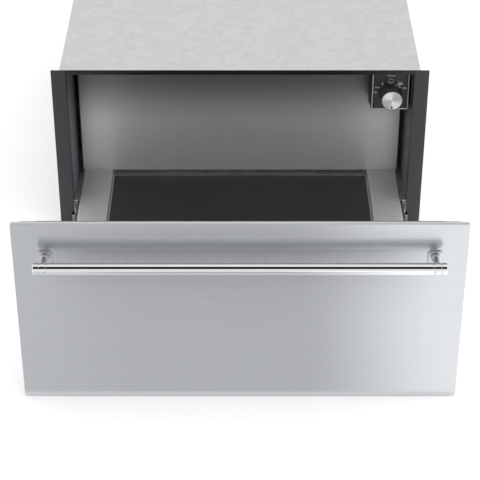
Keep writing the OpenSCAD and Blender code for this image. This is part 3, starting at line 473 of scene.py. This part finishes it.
ownPaint = {"liner_left": linerPaint, "liner_right": linerPaint, "top_rail": topRailPaint}
for nodeName, node in nodes.items():
    node.data.materials.clear()
    node.data.materials.append(ownPaint.get(nodeName, finishes[slotOf[nodeName]]))


# Surfaces worked out on grids

def boxOf(nodeName):  # the middle, the size and the two corners of a solid's box
    low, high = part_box(nodeName)
    return (low + high) / 2, high - low, low, high


def quarter(steps):  # angles over a quarter of a turn
    return np.linspace(0, quarterTurn, steps)


def circle(steps):  # angles round a whole turn, without its end
    return np.linspace(0, fullTurn, steps, endpoint=False)


def addObject(name, data):
    added = bpy.data.objects.new(name, data)
    bpy.context.scene.collection.objects.link(added)
    return added


def cornerPoints(mesh):  # the point of each face corner
    corners = np.zeros(len(mesh.loops), int)
    mesh.loops.foreach_get("vertex_index", corners)
    co = np.zeros(len(mesh.vertices) * 3)
    mesh.vertices.foreach_get("co", co)
    return co.reshape(-1, 3)[corners]


def writeUv(mesh, uv):
    mesh.uv_layers["UVMap"].data.foreach_set("uv", uv.astype(np.float32).ravel())


def finishPiece(name, mesh, nodeName, material=None, uvAxes=(0, 2), sharp=35):
    # The piece takes the solid's body and slot. A flat UV map in metres gives the grain its direction.
    slot = slotOf[nodeName]
    mesh.uv_layers.new(name="UVMap")
    writeUv(mesh, cornerPoints(mesh)[:, list(uvAxes)])
    mesh.shade_smooth()
    mesh.set_sharp_from_angle(angle=math.radians(sharp))
    mesh.materials.append(material or finishes[slot])
    piece = addObject(name, mesh)
    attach(piece, bodyOf[nodeName])
    return piece


def surface(name, rings, nodeName, closeLong=False, **settings):
    # Rings of points are joined ring to ring. Each ring closes on itself, and open ends get a middle point.
    rows, columns = rings.shape[:2]
    points = rings.reshape(-1, 3)
    grid = np.arange(rows * columns).reshape(rows, columns)
    near, far = (grid, np.roll(grid, -1, 0)) if closeLong else (grid[:-1], grid[1:])
    quads = np.stack([near, np.roll(near, -1, 1), np.roll(far, -1, 1), far], -1).reshape(-1, 4)
    triangles = np.zeros((0, 3), int)
    if not closeLong:
        points = np.vstack([points, rings[0].mean(0), rings[-1].mean(0)])
        start = np.stack([np.full(columns, grid.size), np.roll(grid[0], -1), grid[0]], 1)
        end = np.stack([np.full(columns, grid.size + 1), grid[-1], np.roll(grid[-1], -1)], 1)
        triangles = np.vstack([start, end])
    a, b, c = points[np.vstack([quads[:, [0, 1, 2]], quads[:, [0, 2, 3]], triangles]).T]
    if np.einsum("ij,ij->", a, np.cross(b, c)) < 0:  # the volume is negative where the faces look inwards
        quads, triangles = quads[:, ::-1], triangles[:, ::-1]
    mesh = bpy.data.meshes.new(name)
    mesh.from_pydata(points.tolist(), [], quads.tolist() + triangles.tolist())
    mesh.update()
    return finishPiece(name, mesh, nodeName, **settings)


def standIn(name, rings, nodeName, **settings):  # a surface that takes the solid's place
    piece = surface(name, rings, nodeName, **settings)
    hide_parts(nodeName)
    return piece


def slabRings(width, height, corner, section, arcSteps=8):
    # Each ring is a rectangle with round corners, drawn in by the section's inset at the section's depth
    inset, depth = np.array(section, float).T[:, :, None]
    turn = quarter(arcSteps + 1)
    angle = np.concatenate([turn + k * quarterTurn for k in range(4)])[None]
    side = np.repeat([1, -1, -1, 1], arcSteps + 1)[None]
    rise = np.repeat([1, 1, -1, -1], arcSteps + 1)[None]
    radius = np.maximum(corner - inset, 1e-5)
    u = side * np.maximum(width / 2 - inset - radius, 1e-5) + radius * np.cos(angle)
    v = rise * np.maximum(height / 2 - inset - radius, 1e-5) + radius * np.sin(angle)
    return np.stack([u, v, np.broadcast_to(depth, u.shape)], -1)


def padSection(thickness, edge, reach):
    # A slab's section: out under it to the rim, up, and over a rounded edge back in by the reach
    bend = roundedStep((0, thickness - edge), (edge, thickness), 1)
    return [(reach, 0), (0, 0), *bend, (reach, thickness)]


def facingFront(rings, x, y, z):  # slab depth becomes distance towards the viewer, along -Y
    return np.stack([x + rings[..., 0], y - rings[..., 2], z + rings[..., 1]], -1)


def lyingFlat(rings, centre):  # slab depth is the height
    return rings + (centre.x, centre.y, 0)


def turnedRings(profile, centre, axis, steps=96):
    # A profile of distances along the axis and radii, turned once round it
    along, radius = np.array(profile, float).T[:, :, None]
    angle = circle(steps)[None]
    a, b = radius * np.cos(angle), radius * np.sin(angle)
    along = np.broadcast_to(along, a.shape)
    return np.stack((along, a, b) if axis == "x" else (b, along, a), -1) + np.array(centre)


def roundedStep(fromPoint, toPoint, bulge, steps=5):
    # A quarter ellipse between two profile points: bulge 0 leaves the first point along the axis
    t = quarter(steps)
    (a0, r0), (a1, r1) = fromPoint, toPoint
    slow, quick = 1 - np.cos(t), np.sin(t)
    alongShare, radiusShare = (slow, quick) if bulge else (quick, slow)
    return list(zip(a0 + (a1 - a0) * alongShare, r0 + (r1 - r0) * radiusShare))


def offsetPoints(along, radius, *steps):  # profile points set off from one point by steps in millimetres
    return [(along + a * mm, radius + r * mm) for a, r in steps]


def outlineRings(outline, centre, stations):
    # A flat outline of x and z points at each station's y, drawn in to its share about the centre
    y, share = np.array(stations).T[:, :, None]
    x, z = (centre + (outline - centre) * share[:, :, None]).transpose(2, 0, 1)
    return np.stack([x, np.broadcast_to(y, x.shape), z], -1)


# Folded sheets and small solids that only need their edges eased

# The width of the bevel in millimetres, and the nodes that get it
easedNodes = [
    (0.35, "carcass_floor carcass_top side_left side_right support_left support_right heater_tray "
           "back_brace drawer_pan rail_outer_left rail_outer_right rail_middle_left rail_middle_right "
           "rail_inner_left rail_inner_right liner_left liner_right front_inner_panel top_rail"),
    (0.45, "drawer_back"),
    (0.5, "frame_strip_left frame_strip_right"),
    (0.9, "control_housing terminal_box rotary_switch")]


def easedCopy(nodeName, width):
    # The node's own triangles merged into faces, then bevelled
    mesh = nodes[nodeName].data.copy()
    work = bmesh.new()
    work.from_mesh(mesh)
    bmesh.ops.remove_doubles(work, verts=work.verts, dist=1e-6)
    bmesh.ops.dissolve_limit(work, angle_limit=math.radians(0.5), verts=work.verts, edges=work.edges)
    work.to_mesh(mesh)
    work.free()
    mesh.materials.clear()
    piece = finishPiece("eased_" + nodeName, mesh, nodeName, ownPaint.get(nodeName))
    bevel = piece.modifiers.new("easedEdges", "BEVEL")
    bevel.width, bevel.segments = width, 2
    bevel.limit_method, bevel.angle_limit = "ANGLE", math.radians(40)
    bevel.harden_normals = True
    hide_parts(nodeName)


for width, names in easedNodes:
    for nodeName in names.split():
        easedCopy(nodeName, width * mm)
print("folded sheets eased")


# The drawer front: a pressed tray of sheet with rounded bends

frontShape = millimetres(bend=1.3, wall=1.2, corner=3.0, lip=9.8, reach=60)


def buildFront(shape):
    centre, size, _, high = boxOf("front_skin")
    depth, wall, bend, reach = size.y, shape["wall"], shape["bend"], shape["reach"]
    rearBend = roundedStep((bend, 0), (0, bend), 0, 6)
    faceBend = roundedStep((0, depth - bend), (bend, depth), 1, 6)
    # From the middle of the face's inside, round the folded edge and its lip, and out over the face
    section = [(reach, depth - wall), (wall, depth - wall), (wall, wall), (shape["lip"], wall),
               (shape["lip"], 0), *rearBend, *faceBend, (reach, depth)]
    rings = slabRings(size.x, size.z, shape["corner"], section)
    standIn("frontShell", facingFront(rings, centre.x, high.y, centre.z), "front_skin")


buildFront(frontShape)


# The handle: tube, collars with posts, caps and rose plates

handleShape = millimetres(
    inset=0.01, seam=0.35, grooveWidth=0.35, grooveDepth=1.3, capEdge=1.6, capRim=0.6, postNeck=4.2,
    postFoot=6.0, postFootLength=5.0, postFlare=2.2, postEdge=0.3, postStart=2.0, roseCorner=5.0,
    roseEdge=0.6, roseReach=8.0)


def barEnd(x, inward, radius, edge, shape):
    # One end of a turned length: at a seam, half of the groove to the next one comes before its edge
    if edge == shape["seam"]:
        start, floor = x + inward * shape["grooveWidth"], radius - shape["grooveDepth"]
        foot = [(x, floor), (start, floor)]
    else:
        start, foot = x, [(x, radius - edge - shape["capRim"])]
    return [*foot, *roundedStep((start, radius - edge), (start + inward * edge, radius), 1)]


def turnedBar(name, nodeName, startX, endX, edges, shape):
    # A straight turned length along X with its two ends
    axis, size = boxOf("handle_bar")[:2]
    radius = size.z / 2 - shape["inset"]
    start = barEnd(startX, 1, radius, edges[0], shape)
    end = barEnd(endX, -1, radius, edges[1], shape)[::-1]
    standIn(name, turnedRings(start + end, (0, axis.y, axis.z), "x"), nodeName)


def buildHandle(shape):
    axis, _, _, barEdge = boxOf("handle_bar")
    _, _, capInner, capOuter = boxOf("handle_cap_right")
    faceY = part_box("front_skin")[0].y
    seam, neck, foot, blunt = shape["seam"], shape["postNeck"], shape["postFoot"], shape["postEdge"]
    turnedBar("handleTube", "handle_bar", -barEdge.x, barEdge.x, (seam, seam), shape)
    for side, sign in (("left", -1), ("right", 1)):
        # The collar's own length along the bar lies between the tube and the cap
        lengths = (("Collar", barEdge.x, capInner.x, seam),
                   ("Cap", capInner.x, capOuter.x, shape["capEdge"]))
        for part, inner, outer, edge in lengths:
            turnedBar(f"handle{part}_{side}", f"handle_{part.lower()}_{side}",
                      *sorted((sign * inner, sign * outer)), (seam, edge)[::sign], shape)
        rose, roseSize = boxOf("handle_rose_" + side)[:2]
        roseTop = faceY - roseSize.y
        footY = roseTop - shape["postFootLength"]
        postProfile = [(axis.y + shape["postStart"], neck),
                       *roundedStep((footY - shape["postFlare"], neck), (footY, foot), 0, 6),
                       (roseTop - blunt, foot), (roseTop, foot - blunt)]
        postX = sign * (barEdge.x + capInner.x) / 2
        post = turnedRings(postProfile, (postX, 0, axis.z), "y", 64)
        surface("handlePost_" + side, post, "handle_collar_" + side, material=finishes["rose_steel"],
                uvAxes=(1, 2))
        section = padSection(roseSize.y, shape["roseEdge"], shape["roseReach"])
        rings = slabRings(roseSize.x, roseSize.z, shape["roseCorner"], section)
        standIn("rosePlate_" + side, facingFront(rings, rose.x, faceY, rose.z), "handle_rose_" + side)


buildHandle(handleShape)
print("front and handle built")


# The platforms: folded profiles carried along a straight line

platformShape = millimetres(sheet=1.0, bend=1.1, outerFold=2.0, ease=0.3)


def foldedLoop(corners, thickness, bend, steps=5):
    # A bent strip in section: its middle line gets a round bend at each corner, and is set off both ways
    along = np.diff(corners, axis=0)
    along /= np.linalg.norm(along, axis=1)[:, None]
    across = np.column_stack([-along[:, 1], along[:, 0]])
    line, normals = [corners[:1]], [across[:1]]
    for corner, before, normal, after in zip(corners[1:], along, across, along[1:]):
        turn = np.sign(normal @ after)
        angle = quarter(steps)[:, None] * turn
        turned = normal * np.cos(angle) - before * np.sin(angle)
        line.append(corner - before * bend + (normal - turned) * bend * turn)
        normals.append(turned)
    line, normals = np.vstack([*line, corners[-1:]]), np.vstack([*normals, across[-1:]])
    return np.vstack([line + normals * thickness / 2, (line - normals * thickness / 2)[::-1]])


def buildPlatform(side, shape):
    low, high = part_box("platform_" + side)
    half, ease = shape["sheet"] / 2, shape["ease"]
    left, right, top = low.x + half, high.x - half, high.z - half
    outer, inner = (high.z - shape["outerFold"], low.z)[::1 if side == "left" else -1]
    section = np.array([(left, outer), (left, top), (right, top), (right, inner)])
    loop = foldedLoop(section, shape["sheet"], shape["bend"])
    stations = ((low.y, 0.999), (low.y + ease, 1.0), (high.y - ease, 1.0), (high.y, 0.999))
    standIn("platformCover_" + side, outlineRings(loop, loop.mean(0), stations), "platform_" + side,
            material=platformSteel, uvAxes=(1, 0))


for side in ("left", "right"):
    buildPlatform(side, platformShape)


# The warming plate, and the thin half-round trim round it

trimShape = millimetres(crown=0.8, corner=2.2)
plateShape = millimetres(bevel=0.8, foot=0.4, corner=1.5, reach=40)


def buildTrim(shape):
    centre, size, low, high = boxOf("plate_trim")
    half = (size.x - boxOf("warming_plate")[1].x) / 4
    t = np.linspace(0, math.pi, 9)
    crown = zip(half - half * np.cos(t), high.z + shape["crown"] * (np.sin(t) - 1))
    rings = slabRings(size.x, size.y, shape["corner"], [(0, low.z), *crown, (2 * half, low.z)], 6)
    standIn("trimBead", lyingFlat(rings, centre), "plate_trim", closeLong=True, uvAxes=(0, 1))


def buildPlate(shape):  # the glass with a ground bevel round its top edge
    centre, size, low, high = boxOf("warming_plate")
    bevel, foot, reach = shape["bevel"], shape["foot"], shape["reach"]
    section = [(reach, low.z), (foot, low.z), (0, low.z + foot), (0, high.z - bevel),
               (bevel * 0.35, high.z - bevel * 0.3), (bevel, high.z), (reach, high.z)]
    rings = slabRings(size.x, size.y, shape["corner"], section, 5)
    standIn("glassPlate", lyingFlat(rings, centre), "warming_plate", uvAxes=(0, 1))


buildTrim(trimShape)
buildPlate(plateShape)


# The seal behind the front: a bulb with a flat foot, carried up one side, over the top and down the other

sealShape = dict(bulb=0.62, steps=8, around=20) | millimetres(width=5.0, corner=6.0)


def buildSeal(shape):
    low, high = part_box("front_gasket")
    width, corner = shape["width"], shape["corner"]
    t = circle(shape["around"])
    # Across the seal: a flat foot and a rounded back, thicker in the middle
    across = width / 2 * np.sign(np.cos(t)) * np.abs(np.cos(t)) ** 0.7
    back = (high.y - low.y) * np.maximum(np.sin(t), 0) ** shape["bulb"]
    halfX, topZ = (high.x - low.x) / 2 - width / 2, high.z - width / 2
    bend = quarter(shape["steps"])
    outX = np.concatenate([[1], np.cos(bend), -np.cos(bend)[::-1], [-1]])[:, None]
    outZ = np.concatenate([[0], np.sin(bend), np.sin(bend)[::-1], [0]])[:, None]
    pathX = np.sign(outX) * (halfX - corner) + corner * outX
    pathZ = topZ - corner + corner * outZ
    pathX[[0, -1], 0] = halfX, -halfX
    pathZ[[0, -1]] = low.z
    x, z = pathX + outX * across, pathZ + outZ * across
    standIn("sealBead", np.stack([x, low.y + np.broadcast_to(back, x.shape), z], -1), "front_gasket")


buildSeal(sealShape)
print("drawer lining built")


# The controls: panel, marks, lens and knob

panelShape = millimetres(
    corner=1.5, edge=0.5, reach=12, bandInset=0.55, bandWidth=1.3, bandRise=0.12, bandFoot=0.2,
    bandSlope=0.1)


def buildPanel(shape):
    centre, size, low, high = boxOf("control_panel")

    def onPanel(section):
        rings = slabRings(size.x, size.z, shape["corner"], section)
        return facingFront(rings, centre.x, high.y, centre.z)

    section = padSection(size.y, shape["edge"], shape["reach"])
    standIn("controlFascia", onPanel(section), "control_panel")
    # A narrow bright band just inside the fascia's edge
    start, end = shape["bandInset"], shape["bandInset"] + shape["bandWidth"]
    foot, top = size.y - shape["bandFoot"], size.y + shape["bandRise"]
    band = [(start, foot), (start + shape["bandSlope"], top), (end, top), (end, foot)]
    surface("fasciaBand", onPanel(band), "control_panel", material=finishes["rose_steel"], closeLong=True)
    return low.y


panelFace = buildPanel(panelShape)
markFoot = panelFace + 0.1 * mm
markTop = panelFace - 0.08 * mm


def roundBar(x, z, width, height):  # a bar with half-round ends
    r = min(width, height) / 2
    t = np.linspace(-quarterTurn, quarterTurn, 9)
    end = np.column_stack([max(width, height) / 2 - r + r * np.cos(t), r * np.sin(t)])
    bar = np.vstack([end, (end * (-1, 1))[::-1]])
    return (bar if width >= height else bar[:, ::-1]) + (x, z)


def halfDisc(x, z, width, height):  # a dome, or a bowl where the height is negative
    t = np.linspace(0, math.pi, 15)
    return np.column_stack([x + width / 2 * np.cos(t), z + height * np.sin(t)])


def printedMark(name, outline, material):
    # A patch of print: its outline in x and z on the panel, given its own small thickness
    stations = ((markFoot, 1.0), (markTop, 1.0), (markTop, 0.5))
    rings = outlineRings(outline * mm, outline.mean(0) * mm, stations)
    surface(name, rings, "control_panel", material=material)


def printedArc(name, x, z, radius, width, degrees, taper, material):
    # A ring or an arc of print, narrowed along it by the taper. Angles run clockwise from straight up.
    closed = degrees[1] - degrees[0] == 360
    turn = np.radians(np.linspace(*degrees, 49 if closed else 25))[:, None]
    narrow = width * (1 - taper * np.linspace(0, 1, len(turn)))[:, None]
    r = (radius + np.array([-1, -1, 1, 1]) * narrow / 2) * mm
    y = np.broadcast_to([markFoot, markTop, markTop, markFoot], r.shape)
    rings = np.stack([x * mm + r * np.sin(turn), y, z * mm + r * np.cos(turn)], -1)
    surface(name, rings[:-1] if closed else rings, "control_panel", closeLong=closed, material=material)


# Each mark's place from the knob's axis, its width and its height, all in millimetres
markShapes = [
    ("markOff", roundBar, (-21.5, 11.7, 7.5, 1.5), greyPrint),
    ("markOffDot", roundBar, (-24.4, 11.7, 2.2, 2.2), brightPrint),
    ("markWarm", roundBar, (-13.8, 18.1, 1.9, 6.0), greyPrint),
    ("markRingBar", roundBar, (-1.0, 21.1, 9.0, 0.9), greyPrint),
    ("markBowl", halfDisc, (13.4, 19.7, 8.4, -3.8), brightPrint),
    *((f"markSteam_{letter}", roundBar, (x, 22.1, 0.9, 2.0), greyPrint)
      for letter, x in zip("abc", (11.0, 13.4, 15.8))),
    ("markDome", halfDisc, (21.0, 10.1, 6.0, 2.4), greyPrint),
    ("markDomeBar", roundBar, (21.0, 9.4, 7.4, 0.8), greyPrint),
    ("markPlainBar", roundBar, (-0.5, 32.5, 12.5, 1.6), greyPrint)]
axis = boxOf("knob_shaft")[0]
for name, outline, (x, z, width, height), material in markShapes:
    printedMark(name, outline(axis.x / mm + x, axis.z / mm + z, width, height), material)
printedArc("markRing", axis.x / mm - 1.0, axis.z / mm + 22.9, 4.0, 0.8, (0, 360), 0.0, greyPrint)
printedArc("markRise", axis.x / mm, axis.z / mm, 18.0, 0.45, (16, 54), -2.2, brightPrint)

knobShape = dict(steps=128) | millimetres(
    edge=0.9, rim=0.9, rimEdge=0.55, dish=0.25, hub=0.15, dropLength=2.9, dropWidth=2.2, dropPlace=11.4)


def buildKnob(shape):
    _, size, _, high = boxOf("knob_body")
    _, discSize, discFront, _ = boxOf("knob_face")
    foot, outer, footY, faceY = size.x / 2, discSize.x / 2, high.y, discFront.y
    rim = outer + shape["rim"]

    def turned(profile):
        return turnedRings(profile, (axis.x, 0, axis.z), "y", shape["steps"])

    # From the hollow at the back, out over the foot, up the tapered side, round the rim, into the recess
    profile = [(footY - 8 * mm, foot * 0.5), (footY, foot * 0.56),
               *offsetPoints(footY, foot, (0, -0.5), (-0.5, 0), (-2.5, 0), (-2.9, -0.5), (-3.4, -0.35)),
               *roundedStep((faceY + shape["edge"], rim), (faceY, rim - shape["rimEdge"]), 0),
               *offsetPoints(faceY, rim, (0.25, -0.8), (0.9, -0.85))]
    standIn("knobGrip", turned(profile), "knob_body", sharp=28)
    # The disc is dished a little and has a blunt edge. Its UV map runs round it, and so does its grain.
    radii = np.linspace(outer - 0.5 * mm, shape["hub"], 24)
    dished = faceY + shape["dish"] * (1 - (radii / outer) ** 2)
    profile = [*offsetPoints(faceY, outer, (1.0, 0), (0.3, 0), (0.02, -0.25)), *zip(dished, radii)]
    mesh = standIn("knobDisc", turned(profile), "knob_face", sharp=50).data
    across, _, rise = (cornerPoints(mesh) - (axis.x, 0, axis.z)).T
    turn = np.arctan2(rise, across)
    starts = np.zeros(len(mesh.polygons), int)
    mesh.polygons.foreach_get("loop_start", starts)
    first = np.repeat(turn[starts], np.diff(np.append(starts, len(turn))))
    turn = first + (turn - first + math.pi) % fullTurn - math.pi  # no jump inside a face
    writeUv(mesh, np.column_stack([turn / fullTurn, np.hypot(across, rise) / outer]))
    # The pointer is a drop with its point towards the axis
    t = circle(32)
    dropX = shape["dropWidth"] * np.sin(t) * np.sin(t / 2) ** 1.2
    drop = np.column_stack([dropX, shape["dropLength"] * np.cos(t)])
    centre = np.array([axis.x, axis.z - shape["dropPlace"]])
    stations = [(faceY + y * mm, share)
                for y, share in ((0.5, 1.0), (-0.12, 1.0), (-0.25, 0.82), (-0.28, 0.4))]
    surface("knobPointer", outlineRings(centre + drop, centre, stations), "knob_body")


buildKnob(knobShape)

lensShape = millimetres(rise=0.45, foot=0.3, tip=0.1)


def buildLens(shape):  # a low dome
    centre, size, low, high = boxOf("indicator_lens")
    radius, rise = size.x / 2, shape["rise"]
    dome = roundedStep((low.y + rise, radius), (low.y, 0), 0, 7)[:-1]
    profile = [(high.y, radius * 0.9), (high.y - shape["foot"], radius), (low.y + rise, radius),
               *dome, (low.y, shape["tip"])]
    standIn("lampDome", turnedRings(profile, (centre.x, 0, centre.z), "y", 40), "indicator_lens")


buildLens(lensShape)
print("controls built")


# The back: screws with cross recesses and the cable gland with its grip ribs

screwShape = millimetres(
    radius=3.6, crown=0.5, rim=0.35, crossLength=2.3, crossEnd=0.5, crossWidth=0.55, crossDepth=1.0)


def screwHead(name, height, place, shape):
    # The head's height over a polar grid: a low dome less a cross, whose floor rises to its ends
    radius = shape["radius"]
    angle = circle(64)[None]
    share = np.linspace(0.04, 1, 16)[:, None]
    x, z = share * radius * np.cos(angle), share * radius * np.sin(angle)
    dome = height - shape["crown"] * share ** 2 - shape["rim"] * np.clip((share - 0.86) / 0.14, 0, 1) ** 2
    arms = [np.clip(1.4 - np.abs(a) / shape["crossWidth"], 0, 1) *
            np.clip((shape["crossLength"] - np.abs(b)) / shape["crossEnd"], 0, 1)
            for a, b in ((x, z), (z, x))]
    top = np.stack([x, dome - shape["crossDepth"] * np.maximum(*arms), z], -1)
    rim = np.stack([np.cos(angle) * radius, np.zeros_like(angle), np.sin(angle) * radius], -1)
    rings = np.concatenate([top, rim, rim * np.array([0.2, 1, 0.2])]) + np.array(place)
    standIn(name, rings, "carcass_screws", sharp=30)


def buildBackScrews(shape):
    low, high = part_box("carcass_screws")
    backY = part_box("carcass_back")[1].y
    radius = shape["radius"]
    rows = (low.z + radius, (low.z + high.z) / 2, high.z - radius)
    for column, x in (("left", low.x + radius), ("right", high.x - radius)):
        for row, z in enumerate(rows, 1):
            screwHead(f"backScrew_{column}_{row}", high.y - backY, (x, backY, z), shape)


buildBackScrews(screwShape)

# The gland's lengths are in millimetres
glandShape = dict(ribs=12, ribDepth=0.35, bore=4.2, neck=7.9, collar=10.5, steps=144)


def buildGland(shape):
    # Outside, the radius ripples round the collar: a power of a cosine leaves narrow grip ribs
    centre, _, low, high = boxOf("cable_gland")
    inside, back, outside = low.y / mm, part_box("carcass_back")[1].y / mm, high.y / mm
    angle = circle(shape["steps"])[None]
    bore, neck, collar = shape["bore"], shape["neck"], shape["collar"]
    grip = collar - shape["ribDepth"]
    # Each profile point has its y, its radius and whether the ribs rise from it
    profile = [(inside, bore, 0), (inside, neck, 0), (back - 6, neck, 0), (back - 6, collar, 0),
               (back - 1, collar, 0), (back - 1, neck, 0), (back, neck, 0), (back, collar, 0),
               (back + 1.2, collar, 0), (back + 1.6, grip, 1), (outside - 3, grip, 1),
               (outside - 2.4, collar - 0.5, 0), (outside - 0.8, collar - 2.2, 0),
               (outside, collar - 3.4, 0), (outside, bore + 0.5, 0), (outside - 0.5, bore, 0)]
    y, r, ribbed = np.array(profile).T[:, :, None]
    radius = (r + ribbed * shape["ribDepth"] * np.abs(np.cos(angle * shape["ribs"] / 2)) ** 6) * mm
    rings = np.stack([centre.x + radius * np.cos(angle), np.broadcast_to(y * mm, radius.shape),
                      centre.z + radius * np.sin(angle)], -1)
    standIn("glandCollar", rings, "cable_gland", closeLong=True, sharp=30)


buildGland(glandShape)
print("back fittings built")


# Floor, lights and camera

cameraPlace = dict(eye=(0.0, -2.384, 1.4387), pitch=32.2, lens=118.5, shiftY=-0.15)
floorLook = dict(colour=(0.9, 0.9, 0.905), worn=(0.84, 0.84, 0.85), glow=0.14, roughness=0.6, half=6.0)
floorCard = dict(
    half=0.9, near=-0.7, far=-2.4, height=0.004, centre=(0.69, 0.695, 0.71), left=(0.77, 0.775, 0.79),
    leftRamp=(-0.12, -0.33), right=(1.28, 1.285, 1.295), rightRamp=(0.08, 0.31), bandFrom=-1.145,
    bandTo=-0.985, bandHalf=0.34, band=(0.14, 0.14, 0.15))
# The bar mirrors this card, which leans above the camera, as a thin black line
darkCard = dict(low=(-2.6, 1.5), high=(-1.4, 3.0), half=2.0, shade=0.012)


def stageSheet(name, half, low, high, material):
    # A rectangle: half its width, and its lower and upper edges in y and z
    mesh = bpy.data.meshes.new(name)
    corners = [(-half, *low), (half, *low), (half, *high), (-half, *high)]
    mesh.from_pydata(corners, [], [(0, 1, 2, 3)])
    mesh.materials.append(material)
    sheet = addObject(name, mesh)
    return sheet


def makeFloor(look):
    material, tree, sockets = newMaterial("paleFloor", {
        "Roughness": look["roughness"], "Emission Color": 1, "Emission Strength": look["glow"]})
    patches = useGroup(tree, handling, Scale=1.2)
    colour = blendColours(tree, spread(tree, patches, 0.0, 0.03), look["colour"], look["worn"])
    fill(tree, sockets, {"Base Color": colour})
    half = look["half"]
    stageSheet("paleFloor", half, (-half, 0), (half, 0), material)


def reflectorCard(name, half, low, high, shade):  # a studio card that is seen only in reflections
    material, tree, sockets = newMaterial(name, {
        "Roughness": 1.0, "Base Color": 0, "Specular IOR Level": 0.0, "Emission Strength": 1.0,
        "Emission Color": shade})
    card = stageSheet(name, half, low, high, material)
    card.visible_camera = card.visible_diffuse = card.visible_shadow = False
    card.visible_transmission = False
    return tree, sockets


def makeFloorCard(look):
    # What the front mirrors: grey in the middle, lighter to the left, bright at the right, with a dark band
    half, far, height = look["half"], look["far"], look["height"]
    tree, sockets = reflectorCard("floorCard", half, (far, height), (look["near"], height), look["centre"])
    x, y = (addNode(tree, "SeparateXYZ", {0: objectPlace(tree)}, axis) for axis in "XY")

    def inside(limit, softness):  # 1 in the middle, 0 past the limit at each side
        return times(tree, ramp(tree, x, limit, limit - softness), ramp(tree, x, -limit, softness - limit))

    colour = blendColours(tree, ramp(tree, x, *look["rightRamp"]), look["centre"], look["right"])
    colour = blendColours(tree, ramp(tree, x, *look["leftRamp"]), colour, look["left"])
    start, end = look["bandFrom"], look["bandTo"]
    middle = (start + end) / 2
    inBand = times(tree, ramp(tree, y, start, middle - 0.02), ramp(tree, y, end, middle + 0.02))
    colour = blendColours(tree, times(tree, inBand, inside(look["bandHalf"], 0.12)), colour, look["band"])
    # The card fades out at its sides and at its far edge
    faded = times(tree, inside(half, 0.3), ramp(tree, y, far, far + 0.1))
    fill(tree, sockets, {"Emission Color": colour, "Alpha": faded})


def areaLight(name, place, target, size, power):
    data = bpy.data.lights.new(name, "AREA")
    data.shape, data.size, data.size_y, data.energy = "RECTANGLE", *size, power
    lamp = addObject(name, data)
    lamp.location = place
    lamp.rotation_euler = (Vector(target) - Vector(place)).to_track_quat("-Z", "Y").to_euler()
    lamp.visible_glossy = False


def makeLight():
    world = bpy.data.worlds.new("paleRoom")
    bpy.context.scene.world = world
    world.use_nodes = True
    tree = world.node_tree
    fill(tree, tree.nodes["Background"].inputs, {"Color": 1.0, "Strength": 0.95})
    areaLight("softTop", (0.6, -1.2, 3.0), (0, -0.2, 0), (2.4, 1.6), 26)
    areaLight("rightFill", (2.4, -2.0, 1.3), (0.2, -0.7, 0.1), (1.2, 1.4), 12)
    makeFloorCard(floorCard)
    reflectorCard("barDarkCard", darkCard["half"], darkCard["low"], darkCard["high"], darkCard["shade"])


def makeCamera(place):
    data = bpy.data.cameras.new("photoView")
    data.sensor_width, data.lens, data.shift_y = 36.0, place["lens"], place["shiftY"]
    data.clip_start, data.clip_end = 0.05, 60
    camera = addObject("photoView", data)
    camera.location = place["eye"]
    camera.rotation_euler = (math.radians(90 - place["pitch"]), 0, 0)
    bpy.context.scene.camera = camera


makeFloor(floorLook)
makeLight()
makeCamera(cameraPlace)
bpy.context.scene.view_settings.view_transform = "Standard"
print("stage, lights and camera made")
